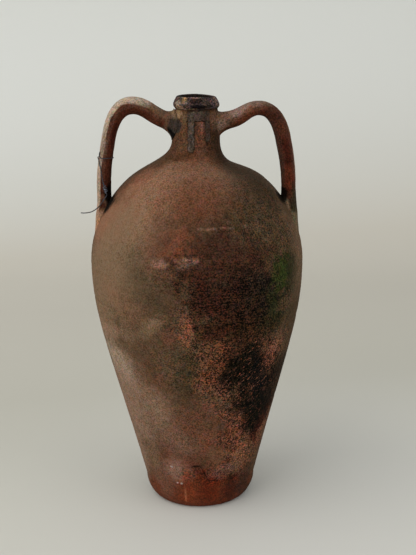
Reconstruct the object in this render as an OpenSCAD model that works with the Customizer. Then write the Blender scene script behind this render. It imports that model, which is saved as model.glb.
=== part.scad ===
// Two-handled storage jar, built up as a potter builds it: a foot, a thrown lower wall,
// a domed upper wall, a neck and a collar, with two pulled handles luted on.
// The axis of the jar is Z, the handles lie along X, and the jar stands on Z = 0.

/* [Foot] */
// Diameter of the flat face that the jar stands on
foot_d = 136; // [120:1:142]
// Diameter of the heel, at the top of the foot
heel_d = 164.6; // [158:0.2:170]
// Height of the foot
foot_h = 27; // [22:1:32]
// How far the edge of that face runs out before it turns up
foot_edge = 4; // [2:0.5:7]
// Thickness of the floor
floor_t = 14; // [10:1:18]
// Radius of the hollow between the floor and the wall
floor_round = 12; // [6:1:16]

/* [Walls] */
// Thickness of the walls
wall_t = 10; // [8:0.5:12]
// Diameter at the widest line
belly_d = 308; // [300:1:320]
// Height of the widest line above the ground
belly_z = 364; // [350:1:380]
// Step in from the heel to the wall above it
heel_step = 0.8; // [0.2:0.1:1.6]
// How far the lower wall leans outward for each unit of height, just above the foot
wall_flare = 0.246; // [0.2:0.002:0.26]
// How far up that lean holds before the wall turns upright
flare_reach = 200; // [180:1:220]
// How far below the widest line the wall begins to turn upright
belly_reach = 85; // [70:1:100]
// Height of the joint between the lower and the upper wall
seam_z = 300; // [280:1:330]

/* [Joints] */
// Width of the tongue that locks two walls together
tongue_w = 4; // [3:0.5:5]
// Height of that tongue
tongue_h = 5; // [3:0.5:7]
// Gap left for slip round a tongue
slip_gap = 0.2; // [0.1:0.05:0.4]

/* [Shoulder] */
// Diameter at which the dome of the shoulder turns into the hollow of the neck
turn_d = 188.4; // [180:0.2:196]
// Height of that turn above the widest line
turn_rise = 121.5; // [116:0.5:130]
// Slope of the shoulder there, in degrees
turn_slope = 35.5; // [30:0.5:40]
// How far above the widest line the dome stays upright
dome_reach = 64; // [56:1:70]
// How far the slope of the turn holds into the dome
crown_reach = 19; // [14:1:26]
// How far the slope of the turn holds into the hollow
hollow_reach = 37; // [32:1:44]

/* [Neck] */
// Diameter of the neck at its waist
waist_d = 68.4; // [66:0.2:74]
// Height of the waist above the turn of the shoulder
waist_rise = 54.5; // [50:0.5:60]
// How far below the waist the neck stays upright
waist_reach = 35; // [28:0.5:38]
// Height of the seat that the neck stands on, above the turn of the shoulder
seat_rise = 26; // [22:1:30]
// Diameter of the opening in the shoulder that the neck plugs into
opening_d = 60; // [56:1:64]
// Diameter of the bore from the mouth down into the jar
mouth_d = 40; // [34:1:44]
// Height of the neck from its waist to the underside of the collar
neck_h = 42; // [38:1:48]
// How far above the waist the neck stays upright
neck_reach = 16; // [10:1:20]
// Diameter of the neck under the collar
neck_top_d = 60.6; // [58:0.2:62]
// How far under the collar the neck's taper holds
taper_reach = 12; // [8:1:16]
// How much the neck widens over that distance, on each side
taper = 1.2; // [0.4:0.2:1.8]

/* [Collar] */
// Height of the collar
collar_h = 18; // [14:0.5:24]
// Greatest diameter of the collar
collar_d = 66; // [64:0.2:70]
// Height of that widest line above the underside
collar_wide_h = 5; // [3:0.5:7]
// How far the collar draws in from there to its underside
collar_tuck = 1.6; // [0.8:0.1:2]
// How far above its widest line the collar stays upright
collar_reach = 4.5; // [2:0.5:6]
// Diameter of the flat lip on top
lip_d = 53; // [50:0.5:58]
// Size of the sloping edge round the lip
lip_bevel = 3; // [1:0.5:4]
// Diameter of the sleeve of the neck inside the collar
sleeve_d = 47; // [46:0.5:49]

/* [Both handles] */
// Depth of a handle from front to back
handle_depth = 29; // [24:0.5:32]
// Roundness of the handles' section: 2 is an oval, less gives it four soft ridges
handle_ridge = 1.5; // [1.4:0.05:2]
// How far the front and the back ridge lie outward of the middle of the section
ridge_out = 3.2; // [2:0.2:4]
// Extra clay of a lug or pad round the end of the handle that it holds
luting_rim = 0.6; // [0.5:0.1:2]
// How far the far ends of lugs and pads lie under the clay that they are worked onto
luting_sink = 1; // [0.5:0.1:1.5]
// Height of the collar's underside above the middle of a lug
lug_drop = 22; // [21.5:0.5:25]
// Half height of a lug where it meets the neck
lug_half_h = 21.5; // [18:0.5:21.5]
// Half width of a lug where it meets the neck
lug_half_w = 21.5; // [18:0.5:24]
// Height of a pad's lower end above the widest line of the jar
pad_low = 24; // [16:1:40]
// How far the outer edge of a pad hangs straight down from the handle
pad_hang = 27; // [20:1:34]
// How far that edge hugs the wall at its lower end
pad_hug = 22; // [14:1:28]
// Half width of a pad at its lower end
pad_half_w = 27; // [22:0.5:30]

/* [Left handle] */
// Length of the left lug, from the waist's surface to the end of the handle
left_lug = 12.3; // [10:0.1:16]
// How far under the lip the middle of the left handle leaves its lug
left_root_drop = 31.7; // [28:0.1:36]
// Upward slope of the left handle where it leaves its lug, in degrees
left_root_slope = 23; // [18:0.5:30]
// Distance of the left handle's highest point from the axis
left_apex_x = 88; // [82:1:94]
// How far under the lip the middle of the handle's highest point is
left_apex_drop = 12.9; // [12.8:0.1:18]
// How far the turn into the upright run lies inside the foot of the left handle
left_hip_inset = 9; // [6:0.5:12]
// How far under the lip that turn ends
left_hip_drop = 59.3; // [54:0.1:68]
// Lean of the left handle there, in degrees
left_lean = 11.5; // [8:0.5:16]
// How far the foot of the left handle stands inside the jar's widest line
left_foot_inset = 22; // [18:0.5:26]
// Height of the left pad over the shoulder, under the middle of the handle
left_pad_rise = 22.8; // [18:0.1:30]
// Thickness of the left handle at its root
left_root_t = 25.1; // [22:0.1:28]
// Thickness of the left handle at its highest point
left_apex_t = 25.5; // [22:0.1:28]
// Thickness of the left handle at the turn into the upright run
left_hip_t = 20.6; // [19:0.1:26]
// Thickness of the left handle at its foot
left_foot_t = 21.2; // [19:0.1:24]

/* [Right handle] */
// Length of the right lug, from the waist's surface to the end of the handle
right_lug = 18.2; // [14:0.1:22]
// How far under the lip the middle of the right handle leaves its lug
right_root_drop = 33.7; // [30:0.1:38]
// Upward slope of the right handle where it leaves its lug, in degrees
right_root_slope = 13.7; // [10:0.1:22]
// Distance of the right handle's highest point from the axis
right_apex_x = 90.4; // [86:0.2:96]
// How far under the lip the middle of the handle's highest point is
right_apex_drop = 18.6; // [14:0.1:22]
// How far the turn into the upright run lies inside the foot of the right handle
right_hip_inset = 9.2; // [6:0.1:14]
// How far under the lip that turn ends
right_hip_drop = 56.5; // [50:0.5:62]
// Lean of the right handle there, in degrees
right_lean = 12.4; // [8:0.1:16]
// How far the foot of the right handle stands inside the jar's widest line
right_foot_inset = 21; // [18:0.5:26]
// Height of the right pad over the shoulder, under the middle of the handle
right_pad_rise = 27.7; // [22:0.1:34]
// Thickness of the right handle at its root
right_root_t = 25.1; // [22:0.1:28]
// Thickness of the right handle at its highest point
right_apex_t = 21; // [19:0.1:26]
// Thickness of the right handle at the turn into the upright run
right_hip_t = 22.9; // [20:0.1:26]
// Thickness of the right handle at its foot
right_foot_t = 21.5; // [20:0.1:24]

/* [Mortar on the neck] */
// Thickness of the mortar that ran down the neck when the mouth was sealed
mortar_t = 1.8; // [1:0.1:2.5]
// Gap between the mortar band and the underside of the collar
mortar_drop = 3; // [2:0.5:6]
// Height of the band that the runs hang from
mortar_band_h = 12; // [9:0.5:16]
// Length of the long run below the band
long_run_h = 43.5; // [34:0.5:45]
// Width of the long run
long_run_w = 10.5; // [8:0.5:12]
// Length of the short run below the band
short_run_h = 28.5; // [20:0.5:32]
// Width of the short run
short_run_w = 8; // [6:0.5:9]

/* [Wire on the left handle] */
// Diameter of the wire
wire_d = 1.5; // [1.2:0.1:2]
// Gap between the wire and the clay
wire_gap = 0.3; // [0.2:0.05:0.6]
// Drop of the wire in its one turn round the handle
wire_turn_drop = 4.4; // [3.5:0.1:6]
// Turns of the knot at the lower end of the wire
knot_turns = 4; // [2:1:4]
// Distance between two turns of the knot
knot_pitch = 2.6; // [2.6:0.1:3]
// Gap between the knot and the wire that it is wound on
knot_gap = 0.5; // [0.45:0.05:0.8]

/* [Hidden] */

// Steps along a curve of a thrown wall, and round a full turn
curve_steps = 14;
$fn = 96;
// Rings along a handle and points round it
handle_steps = 42;
handle_sides = 20;
// Rings of a lug or pad
luting_steps = 10;
// Sides of the wound wire and of its loose end
wire_sides = 6;
tail_sides = 8;

heel_r = heel_d / 2;
wall_foot_r = heel_r - heel_step;
belly_r = belly_d / 2;
turn_r = turn_d / 2;
turn_z = belly_z + turn_rise;
seat_z = turn_z + seat_rise;
waist_r = waist_d / 2;
waist_z = turn_z + waist_rise;
collar_z = waist_z + neck_h;
lip_z = collar_z + collar_h;
bore_r = mouth_d / 2;
opening_r = opening_d / 2;
sleeve_r = sleeve_d / 2;
collar_r = collar_d / 2;
lip_r = lip_d / 2;

// A point of a cubic curve through four control points, and the curve's direction there.
function bezier(p, t) =
    pow(1 - t, 3) * p[0] + 3 * pow(1 - t, 2) * t * p[1]
    + 3 * (1 - t) * pow(t, 2) * p[2] + pow(t, 3) * p[3];
function bezier_way(p, t) =
    3 * pow(1 - t, 2) * (p[1] - p[0]) + 6 * (1 - t) * t * (p[2] - p[1])
    + 3 * pow(t, 2) * (p[3] - p[2]);
function unit(v) = v / norm(v);
// A share from 0 to 1 that starts and ends slowly.
function ease(s) = s * s * (3 - 2 * s);

// The inside of a wall: the outer curve moved toward the axis by the wall, square to it.
function inside(p, t) =
    let (way = unit(bezier_way(p, t)))
    bezier(p, t) + wall_t * [-way[1], way[0]];

// Where a rising curve, or its inside, reaches a height, found by halving.
function t_at(p, z, low = 0, high = 1, left = 30) =
    let (mid = (low + high) / 2)
    left == 0 ? mid
    : bezier(p, mid)[1] < z ? t_at(p, z, mid, high, left - 1)
    : t_at(p, z, low, mid, left - 1);
function t_inside_at(p, z, low = 0, high = 1, left = 30) =
    let (mid = (low + high) / 2)
    left == 0 ? mid
    : inside(p, mid)[1] < z ? t_inside_at(p, z, mid, high, left - 1)
    : t_inside_at(p, z, low, mid, left - 1);
// Where a curve that closes in on the axis reaches a radius.
function t_at_radius(p, r, low = 0, high = 1, left = 30) =
    let (mid = (low + high) / 2)
    left == 0 ? mid
    : bezier(p, mid)[0] > r ? t_at_radius(p, r, mid, high, left - 1)
    : t_at_radius(p, r, low, mid, left - 1);

function along(p, from, to, steps = curve_steps) =
    [for (i = [0:steps]) bezier(p, from + (to - from) * i / steps)];
function along_inside(p, from, to, steps = curve_steps) =
    [for (i = [0:steps]) inside(p, from + (to - from) * i / steps)];
// The points after the first, which the curve before has already given.
function rest(points) = [for (i = [1:len(points) - 1]) points[i]];

// The outline of the thrown jar, from the foot up, as radius and height.
turn_way = [-cos(turn_slope), sin(turn_slope)];
foot_curve = [
    [foot_d / 2, 0],
    [foot_d / 2 + foot_edge, 0],
    [heel_r, foot_h / 2],
    [heel_r, foot_h]
];
wall_curve = [
    [wall_foot_r, foot_h],
    [wall_foot_r + wall_flare * flare_reach, foot_h + flare_reach],
    [belly_r, belly_z - belly_reach],
    [belly_r, belly_z]
];
dome_curve = [
    [belly_r, belly_z],
    [belly_r, belly_z + dome_reach],
    [turn_r, turn_z] - crown_reach * turn_way,
    [turn_r, turn_z]
];
hollow_curve = [
    [turn_r, turn_z],
    [turn_r, turn_z] + hollow_reach * turn_way,
    [waist_r, waist_z - waist_reach],
    [waist_r, waist_z]
];
neck_curve = [
    [waist_r, waist_z],
    [waist_r, waist_z + neck_reach],
    [neck_top_d / 2 + taper, collar_z - taper_reach],
    [neck_top_d / 2, collar_z]
];
// The collar above its widest line.
collar_curve = [
    [collar_r, collar_z + collar_wide_h],
    [collar_r, collar_z + collar_wide_h + collar_reach],
    [lip_r + lip_bevel, lip_z - lip_bevel],
    [lip_r, lip_z]
];

seam_t = t_at(wall_curve, seam_z);
seam_inside_t = t_inside_at(wall_curve, seam_z);
seam_mid_r = (bezier(wall_curve, seam_t)[0] + inside(wall_curve, seam_inside_t)[0]) / 2;
foot_inside = inside(wall_curve, 0);
foot_inside_r = foot_inside[0] - (foot_inside[1] - foot_h) * wall_flare;
foot_mid_r = (wall_foot_r + foot_inside_r) / 2;
seat_t = t_at(hollow_curve, seat_z);
seat_inside = inside(hollow_curve, seat_t);

// A tongue on top of a wall, seen in section from its outer side to its inner side.
function tongue(mid_r, z) = [
    [mid_r + tongue_w / 2, z], [mid_r + tongue_w / 2, z + tongue_h],
    [mid_r - tongue_w / 2, z + tongue_h], [mid_r - tongue_w / 2, z]
];
// The groove that it stands in, from the inner side to the outer side.
function groove(mid_r, z) = [
    [mid_r - tongue_w / 2 - slip_gap, z],
    [mid_r - tongue_w / 2 - slip_gap, z + tongue_h + slip_gap],
    [mid_r + tongue_w / 2 + slip_gap, z + tongue_h + slip_gap],
    [mid_r + tongue_w / 2 + slip_gap, z]
];

// The outlines of the neck and of the collar, from below.
neck_outline = concat(along(hollow_curve, seat_t, 1), rest(along(neck_curve, 0, 1)));
collar_outline = concat([[collar_r - collar_tuck, collar_z]], along(collar_curve, 0, 1));

// The solids that the clay surface of the dome, the neck and the collar encloses. The one
// of the neck is also made wider, for what coats it.
module dome_filled() {
    rotate_extrude() polygon(concat(
        [[0, belly_z]], along(dome_curve, 0, 1), [[0, turn_z]]));
}
module neck_filled(coat = 0) {
    rotate_extrude() polygon(concat(
        [[0, seat_z]], [for (p = neck_outline) [p[0] + coat, p[1]]], [[0, collar_z]]));
}
module collar_filled() {
    rotate_extrude() polygon(concat([[0, collar_z]], collar_outline, [[0, lip_z]]));
}

// A closed solid through rings of points, with triangles between them.
module loft(rings) {
    count = len(rings);
    sides = len(rings[0]);
    polyhedron(
        points = [for (ring = rings) each ring],
        faces = concat(
            [[for (j = [sides - 1:-1:0]) j]],
            [for (i = [0:count - 2], j = [0:sides - 1])
                let (a = i * sides + j, b = i * sides + (j + 1) % sides)
                each [[a, b, a + sides], [b, b + sides, a + sides]]],
            [[for (j = [0:sides - 1]) (count - 1) * sides + j]]));
}

// The section of a handle at angle a: 0 faces outward, 90 the back and -90 the front.
function rounded(c) = sign(c) * pow(abs(c), 2 / handle_ridge);
function section(a, half_t, half_d) =
    let (out = rounded(cos(a)), back = rounded(sin(a)))
    [half_t * out + ridge_out * (1 - out * out) * abs(back), half_d * back];
function section_out(a, half_t, half_d) =
    let (way = section(a + 2, half_t, half_d) - section(a - 2, half_t, half_d))
    unit([way[1], -way[0]]);
// A ring about a point of the handle's middle line, in the plane square to its direction.
// The direction is an angle in the XZ plane, and outward is to its left.
function section_ring(middle, angle, half_t, half_d) = [
    for (j = [0:handle_sides - 1])
    let (s = section(j * 360 / handle_sides, half_t, half_d))
    [middle[0] - s[0] * sin(angle), s[1], middle[1] + s[0] * cos(angle)]
];

// A handle is four places on its middle line, two directions and four thicknesses.
function shoulder_z(r) = bezier(dome_curve, t_at_radius(dome_curve, r))[1];
function handle_data(root, slope, apex, hip, lean, foot_x, pad_rise, thick) = [
    [waist_r + root[0], lip_z - root[1]], slope, [apex[0], lip_z - apex[1]],
    [foot_x - hip[0], lip_z - hip[1]], lean,
    [foot_x, shoulder_z(foot_x) + pad_rise], thick
];
left = handle_data([left_lug, left_root_drop], left_root_slope,
    [left_apex_x, left_apex_drop], [left_hip_inset, left_hip_drop], left_lean,
    belly_r - left_foot_inset, left_pad_rise,
    [left_root_t, left_apex_t, left_hip_t, left_foot_t]);
right = handle_data([right_lug, right_root_drop], right_root_slope,
    [right_apex_x, right_apex_drop], [right_hip_inset, right_hip_drop], right_lean,
    belly_r - right_foot_inset, right_pad_rise,
    [right_root_t, right_apex_t, right_hip_t, right_foot_t]);

// Three curves in a row, each pulled by the same share of its length at both ends.
pull = 0.38;
function pulled(a, way_a, b, way_b) =
    let (reach = pull * norm(b - a)) [a, a + reach * way_a, b - reach * way_b, b];
function handle_curves(h) =
    let (rise = [cos(h[1]), sin(h[1])], fall = [sin(h[4]), -cos(h[4])])
    [
        pulled(h[0], rise, h[2], [1, 0]),
        pulled(h[2], [1, 0], h[3], fall),
        pulled(h[3], fall, h[5], [0, -1])
    ];
// Place, direction and half thickness at u, which runs from 0 at the root to 3 at the foot.
function handle_middle(h, u) =
    let (k = min(2, floor(u))) bezier(handle_curves(h)[k], u - k);
function handle_angle(h, u) =
    let (k = min(2, floor(u)), way = bezier_way(handle_curves(h)[k], u - k))
    atan2(way[1], way[0]);
function handle_half_t(h, u) =
    let (k = min(2, floor(u)), s = u - k, t = h[6])
    (t[k] + (t[k + 1] - t[k]) * ease(s)) / 2;

module handle(h) {
    loft([for (i = [0:handle_steps])
        let (u = 3 * i / handle_steps)
        section_ring(handle_middle(h, u), handle_angle(h, u), handle_half_t(h, u),
            handle_depth / 2)]);
}

// How far out the clay of the neck is at a height.
function neck_r(z) = z < waist_z
    ? bezier(hollow_curve, t_at(hollow_curve, z))[0]
    : bezier(neck_curve, t_at(neck_curve, z))[0];

// A lug leaves the end of the handle along it and flares onto the neck all round. Each
// point of its section follows a curve of its own, which comes in along the neck.
lug_z = collar_z - lug_drop;
lug_leave = 0.37;
lug_arrive = 0.33;
function lug_curve(start, a, slope) =
    let (
        y = lug_half_w * sin(a),
        z = lug_z + lug_half_h * cos(a),
        x = sqrt(pow(neck_r(z) - luting_sink, 2) - y * y),
        far = norm([x, y, z] - start)
    )
    [start, start - lug_leave * far * [cos(slope), 0, sin(slope)],
        [x, y, z] - lug_arrive * far * [-y / x * sin(a), sin(a), cos(a)], [x, y, z]];
module neck_lug(h) {
    start = section_ring(h[0], h[1], handle_half_t(h, 0) + luting_rim,
        handle_depth / 2 + luting_rim);
    curves = [for (j = [0:handle_sides - 1])
        lug_curve(start[j], j * 360 / handle_sides, h[1])];
    difference() {
        loft(concat(
            [[for (c = curves) [bore_r, c[3][1] / 2, (c[3][2] + lug_z) / 2]]],
            [for (i = [luting_steps:-1:0]) [for (c = curves) bezier(c, i / luting_steps)]]));
        neck_filled();
        collar_filled();
    }
}

// A pad runs from the end of the handle down the shoulder and spreads on the way. Its
// outer edge hangs straight and then hugs the wall, and its inner side lies in the wall.
module foot_pad(h) {
    half_t = handle_half_t(h, 3) + luting_rim;
    half_d = handle_depth / 2 + luting_rim;
    low_t = t_at(dome_curve, belly_z + pad_low);
    low = bezier(dome_curve, low_t) - [luting_sink, 0];
    top = h[5] + [half_t, 0];
    edge = [top, top - [0, pad_hang],
        low + pad_hug * unit(bezier_way(dome_curve, low_t)), low];
    difference() {
        loft([for (i = [0:luting_steps])
            let (s = i / luting_steps, out = bezier(edge, s), thick = out[0] - h[5][0] + half_t)
            section_ring([out[0] - thick / 2, out[1]], -90, thick / 2,
                half_d + (pad_half_w - half_d) * ease(s))]);
        dome_filled();
    }
}

// The mortar is a skin on the neck, cut to a band with two rounded runs as seen from the front.
long_run_x = -7.5;
short_run_x = 16.5;
mortar_top = collar_z - mortar_drop;
mortar_low = mortar_top - mortar_band_h;
module run_outline(x, width, length) {
    translate([x - width / 2, mortar_low - length + width / 2])
        square([width, length]);
    translate([x, mortar_low - length + width / 2]) circle(d = width);
}
module mortar_outline() {
    union() {
        translate([long_run_x - long_run_w / 2, mortar_low])
            square([short_run_x - long_run_x + (long_run_w + short_run_w) / 2, mortar_band_h]);
        run_outline(long_run_x, long_run_w, long_run_h);
        run_outline(short_run_x, short_run_w, short_run_h);
    }
}

// The wire is wound on the left handle: a short upright end, one turn, then a steep run
// across the front to the knot. Each point is given by u, the place along the handle, by
// the angle round it and by the height over the clay.
wire_lift = wire_d / 2 + wire_gap;
wire_top_u = 2.235;
wire_turn_u = 2.315;
wire_knot_u = 2.84;
wire_end_u = 2.985;
wire_from_a = -8;
wire_turn_a = -358;
wire_end_a = -484;
knot_lift = knot_gap + wire_d + wire_lift;
wire_turn_steps = 24;
wire_run_steps = 14;
wire_end_steps = 3;
wire_drop_u = wire_turn_drop / (lip_z - left_hip_drop - left[5][1]);
// The share of the turn in which the end comes down, and how evenly it does so.
wire_bend = 0.16;
wire_bend_pace = 1.7;
// The turn starts slowly, and the run steepens.
wire_turn_pace = 1.3;
wire_turn_late = 0.6;
wire_run_pace = 1.35;
function on_handle(u, a, lift) =
    let (
        half_t = handle_half_t(left, u),
        s = section(a, half_t, handle_depth / 2)
            + lift * section_out(a, half_t, handle_depth / 2),
        middle = handle_middle(left, u),
        angle = handle_angle(left, u)
    )
    [middle[0] - s[0] * sin(angle), s[1], middle[1] + s[0] * cos(angle)];
// The turn: the end comes down first and then bends round the handle.
function turn_point(s) = on_handle(
    wire_turn_u + wire_drop_u * s
        - (wire_turn_u - wire_top_u) * pow(max(0, 1 - s / wire_bend), wire_bend_pace),
    wire_from_a + (wire_turn_a - wire_from_a)
        * pow(s, wire_turn_pace) * (1 + wire_turn_late * (1 - s)),
    wire_lift);
// The run: it leaves the turn and steepens, and stands off the clay where the knot is.
function run_point(s) = on_handle(
    wire_turn_u + wire_drop_u
        + (wire_knot_u - wire_turn_u - wire_drop_u) * pow(s, wire_run_pace),
    wire_turn_a + (wire_end_a - wire_turn_a) * s,
    wire_lift + (knot_lift - wire_lift) * ease(s));
// The end inside the knot: straight down at the knot's height over the clay.
function end_point(s) = on_handle(
    wire_knot_u + (wire_end_u - wire_knot_u) * s, wire_end_a, knot_lift);
wire_path = concat(
    [for (i = [0:wire_turn_steps]) turn_point(i / wire_turn_steps)],
    [for (i = [1:wire_run_steps]) run_point(i / wire_run_steps)],
    [for (i = [1:wire_end_steps]) end_point(i / wire_end_steps)]);

// A round tube about a path: at each point a ring in the plane square to the path there,
// turned as little as possible from the ring before.
function path_way(p, i) = unit(p[min(i + 1, len(p) - 1)] - p[max(i - 1, 0)]);
function square_to(v, way) = unit(v - (v * way) * way);
function carried(p, v, i = 0) =
    i == len(p) ? [] :
    let (now = square_to(v, path_way(p, i))) concat([now], carried(p, now, i + 1));
function tube_rings(p, r, sides, start) =
    let (ups = carried(p, start))
    [for (i = [0:len(p) - 1])
        let (side = cross(path_way(p, i), ups[i]))
        [for (j = [0:sides - 1])
            let (a = j * 360 / sides)
            p[i] + r * (cos(a) * ups[i] + sin(a) * side)]];
module tube(p, d, sides, start = [0, 1, 0]) {
    loft([for (ring = tube_rings(p, d / 2, sides, start)) [for (j = [sides - 1:-1:0]) ring[j]]]);
}
// The least gap between stretches of a tube that are more than a few steps apart.
function least_gap(p, d, apart) = min([
    for (i = [0:len(p) - 1], j = [i + apart:1:len(p) - 1]) norm(p[i] - p[j])]) - d;

// The knot is wound round the lower end of the wire, as a helix about a straight line.
knot_steps = 8;
knot_from = end_point(0);
knot_to = end_point(1);
knot_way = unit(knot_to - knot_from);
knot_side = square_to([0, -1, 0], knot_way);
knot_r = wire_d + knot_gap;
knot_length = knot_turns * knot_pitch;
knot_path = [
    for (i = [0:knot_turns * knot_steps])
    let (s = i / knot_steps, a = 360 * s)
    (knot_from + knot_to) / 2 + (s * knot_pitch - knot_length / 2) * knot_way
        + knot_r * (cos(a) * knot_side + sin(a) * cross(knot_way, knot_side))
];

// The loose end of the wire, from the knot over the pad and out past the wall. It leaves
// the knot in line with the wire there.
function mirrored(p) = [-p[0], p[1], p[2]];
tail_way = mirrored(path_way(wire_path, len(wire_path) - 1));
tail_path = concat(
    [mirrored(knot_to), mirrored(knot_to) + wire_d * tail_way],
    [
        [-127.3, -15.2, 462.4], [-127.9, -17.3, 460.9], [-129.3, -18.3, 459],
        [-131.6, -18.8, 455.6], [-134.4, -18.6, 451.6], [-137.4, -18, 447.8],
        [-140.8, -17.1, 444.4], [-144.6, -16, 441.4], [-148.6, -14.8, 439],
        [-152.8, -13.6, 437.4], [-157.2, -12.6, 436.5], [-161.8, -12, 436.2],
        [-165.6, -11.6, 436.5]
    ]);

module foot() {
    color("#a8583a") rotate_extrude() polygon(concat(
        [[0, 0]],
        along(foot_curve, 0, 1),
        tongue(foot_mid_r, foot_h),
        [[foot_inside_r, foot_h]],
        [for (a = [15:15:90])
            [foot_inside_r - floor_round * (1 - cos(a)), foot_h - (foot_h - floor_t) * sin(a)]],
        [[0, floor_t]]));
}

module lower_wall() {
    color("#8a6048") rotate_extrude() polygon(concat(
        groove(foot_mid_r, foot_h),
        along(wall_curve, 0, seam_t),
        tongue(seam_mid_r, seam_z),
        along_inside(wall_curve, seam_inside_t, 0),
        [[foot_inside_r, foot_h]]));
}

module upper_wall() {
    color("#96583c") rotate_extrude() polygon(concat(
        groove(seam_mid_r, seam_z),
        along(wall_curve, seam_t, 1),
        rest(along(dome_curve, 0, 1)),
        rest(along(hollow_curve, 0, seat_t)),
        [[opening_r, seat_z], [opening_r, seat_inside[1]]],
        along_inside(hollow_curve, seat_t, 0),
        rest(along_inside(dome_curve, 1, 0)),
        rest(along_inside(wall_curve, 1, seam_inside_t))));
}

module neck() {
    spigot_r = opening_r - slip_gap;
    color("#7d5a44") rotate_extrude() polygon(concat(
        [[bore_r, seat_inside[1]], [spigot_r, seat_inside[1]], [spigot_r, seat_z]],
        neck_outline,
        [[sleeve_r, collar_z], [sleeve_r, lip_z], [bore_r, lip_z]]));
}

module rim_collar() {
    color("#6b5a52") rotate_extrude() polygon(concat(
        [[sleeve_r + slip_gap, collar_z]],
        collar_outline,
        [[sleeve_r + slip_gap, lip_z]]));
}

module left_neck_lug() {
    color("#4a433e") mirror([1, 0, 0]) neck_lug(left);
}

module right_neck_lug() {
    color("#7a5642") neck_lug(right);
}

module left_handle() {
    color("#a88060") mirror([1, 0, 0]) handle(left);
}

module right_handle() {
    color("#7a4a3c") handle(right);
}

module left_foot_pad() {
    color("#9a6248") mirror([1, 0, 0]) foot_pad(left);
}

module right_foot_pad() {
    color("#6e4436") foot_pad(right);
}

module neck_mortar() {
    color("#5c5650") difference() {
        intersection() {
            neck_filled(mortar_t);
            rotate([90, 0, 0]) linear_extrude(2 * waist_r) mortar_outline();
        }
        neck_filled();
    }
}

module tie_wire() {
    color("#4c5054") mirror([1, 0, 0]) tube(wire_path, wire_d, wire_sides);
}

module tie_knot() {
    color("#6c7078") mirror([1, 0, 0]) tube(knot_path, wire_d, wire_sides, knot_side);
}

module tie_tail() {
    color("#3c3c3c") tube(tail_path, wire_d, tail_sides);
}

echo(wire_gap_to_itself = least_gap(wire_path, wire_d, wire_turn_steps / 4));
echo(knot_gap_to_itself = least_gap(knot_path, wire_d, knot_steps / 2));

foot();
lower_wall();
upper_wall();
neck();
rim_collar();
left_neck_lug();
right_neck_lug();
left_handle();
right_handle();
left_foot_pad();
right_foot_pad();
neck_mortar();
tie_wire();
tie_knot();
tie_tail();
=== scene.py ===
import math

import bpy
import numpy as np
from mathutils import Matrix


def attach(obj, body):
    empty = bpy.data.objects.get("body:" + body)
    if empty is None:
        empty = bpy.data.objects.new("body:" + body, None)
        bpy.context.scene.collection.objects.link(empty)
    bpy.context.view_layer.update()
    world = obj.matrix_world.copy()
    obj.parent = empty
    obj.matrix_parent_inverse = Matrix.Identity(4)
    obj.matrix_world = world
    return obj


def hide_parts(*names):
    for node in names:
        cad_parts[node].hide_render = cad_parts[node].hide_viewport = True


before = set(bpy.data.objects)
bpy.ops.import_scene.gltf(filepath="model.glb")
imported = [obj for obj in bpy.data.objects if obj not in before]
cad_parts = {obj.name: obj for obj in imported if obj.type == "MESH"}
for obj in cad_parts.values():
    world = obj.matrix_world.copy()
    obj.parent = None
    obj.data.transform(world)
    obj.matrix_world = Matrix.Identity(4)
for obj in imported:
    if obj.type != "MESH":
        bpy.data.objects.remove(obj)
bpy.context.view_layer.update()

# Camera
# It stands where the photographer stood: a little above the rim, looking down at the jar.
camera_data = bpy.data.cameras.new("camera")
camera_data.sensor_width = 36.0
camera_data.lens = 68.1
camera = bpy.data.objects.new("camera", camera_data)
bpy.context.scene.collection.objects.link(camera)
bpy.context.scene.camera = camera
camera.location = (0.0157, -1.4912, 0.7383)
camera_pitch = math.radians(90 - 15.144)
camera_roll = math.radians(0.73)
camera.rotation_mode = "XYZ"
camera.rotation_euler = (camera_pitch, 0, 0)
camera.rotation_euler.rotate_axis("Z", -camera_roll)

# Loose end of the wire
# Old iron tie wire, drawn and stiff, that sticks out past the wall from the knot on the
# left handle. It is bare at its far end, and it was simply left when the tie was made.
WIRE_D = 0.0015
tail_points = np.array([
    [-127.24, -13.73, 465.24], [-127.23, -13.73, 463.74], [-127.3, -15.2, 462.4],
    [-127.9, -17.3, 460.9], [-129.3, -18.3, 459], [-131.6, -18.8, 455.6],
    [-134.4, -18.6, 451.6], [-137.4, -18, 447.8], [-140.8, -17.1, 444.4],
    [-144.6, -16, 441.4], [-148.6, -14.8, 439], [-152.8, -13.6, 437.4],
    [-157.2, -12.6, 436.5], [-161.8, -12, 436.2], [-165.6, -11.6, 436.5],
]) * 0.001


def wire_tube(name, way, diameter, sides=10):
    """A round wire along a way of points: at each point a circle square to the way, each
    turned as little as possible from the one before, with a closed face at both ends."""
    ahead = np.gradient(way, axis=0)
    ahead /= np.linalg.norm(ahead, axis=1, keepdims=True)
    up = np.cross(ahead[0], (0.3, 0.9, 0.2))
    ups = []
    for step in ahead:
        up = up - np.dot(up, step) * step
        up = up / np.linalg.norm(up)
        ups.append(up)
    ups = np.array(ups)
    across = np.cross(ahead, ups)
    angle = np.arange(sides)[None, :, None] * 2 * math.pi / sides
    rings = way[:, None] + diameter / 2 * (np.cos(angle) * ups[:, None]
                                           + np.sin(angle) * across[:, None])
    count = len(way)
    a = np.arange(count - 1)[:, None] * sides
    b = np.arange(sides)[None, :]
    b2 = (b + 1) % sides
    quads = np.stack([a + b, a + b2, a + sides + b2, a + sides + b], -1).reshape(-1, 4)
    faces = quads.tolist() + [list(range(sides))[::-1],
                              list(range((count - 1) * sides, count * sides))]
    mesh = bpy.data.meshes.new(name)
    mesh.from_pydata(rings.reshape(-1, 3), [], faces)
    mesh.shade_smooth()
    piece = bpy.data.objects.new(name, mesh)
    bpy.context.scene.collection.objects.link(piece)
    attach(piece, "root")
    return piece


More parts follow.
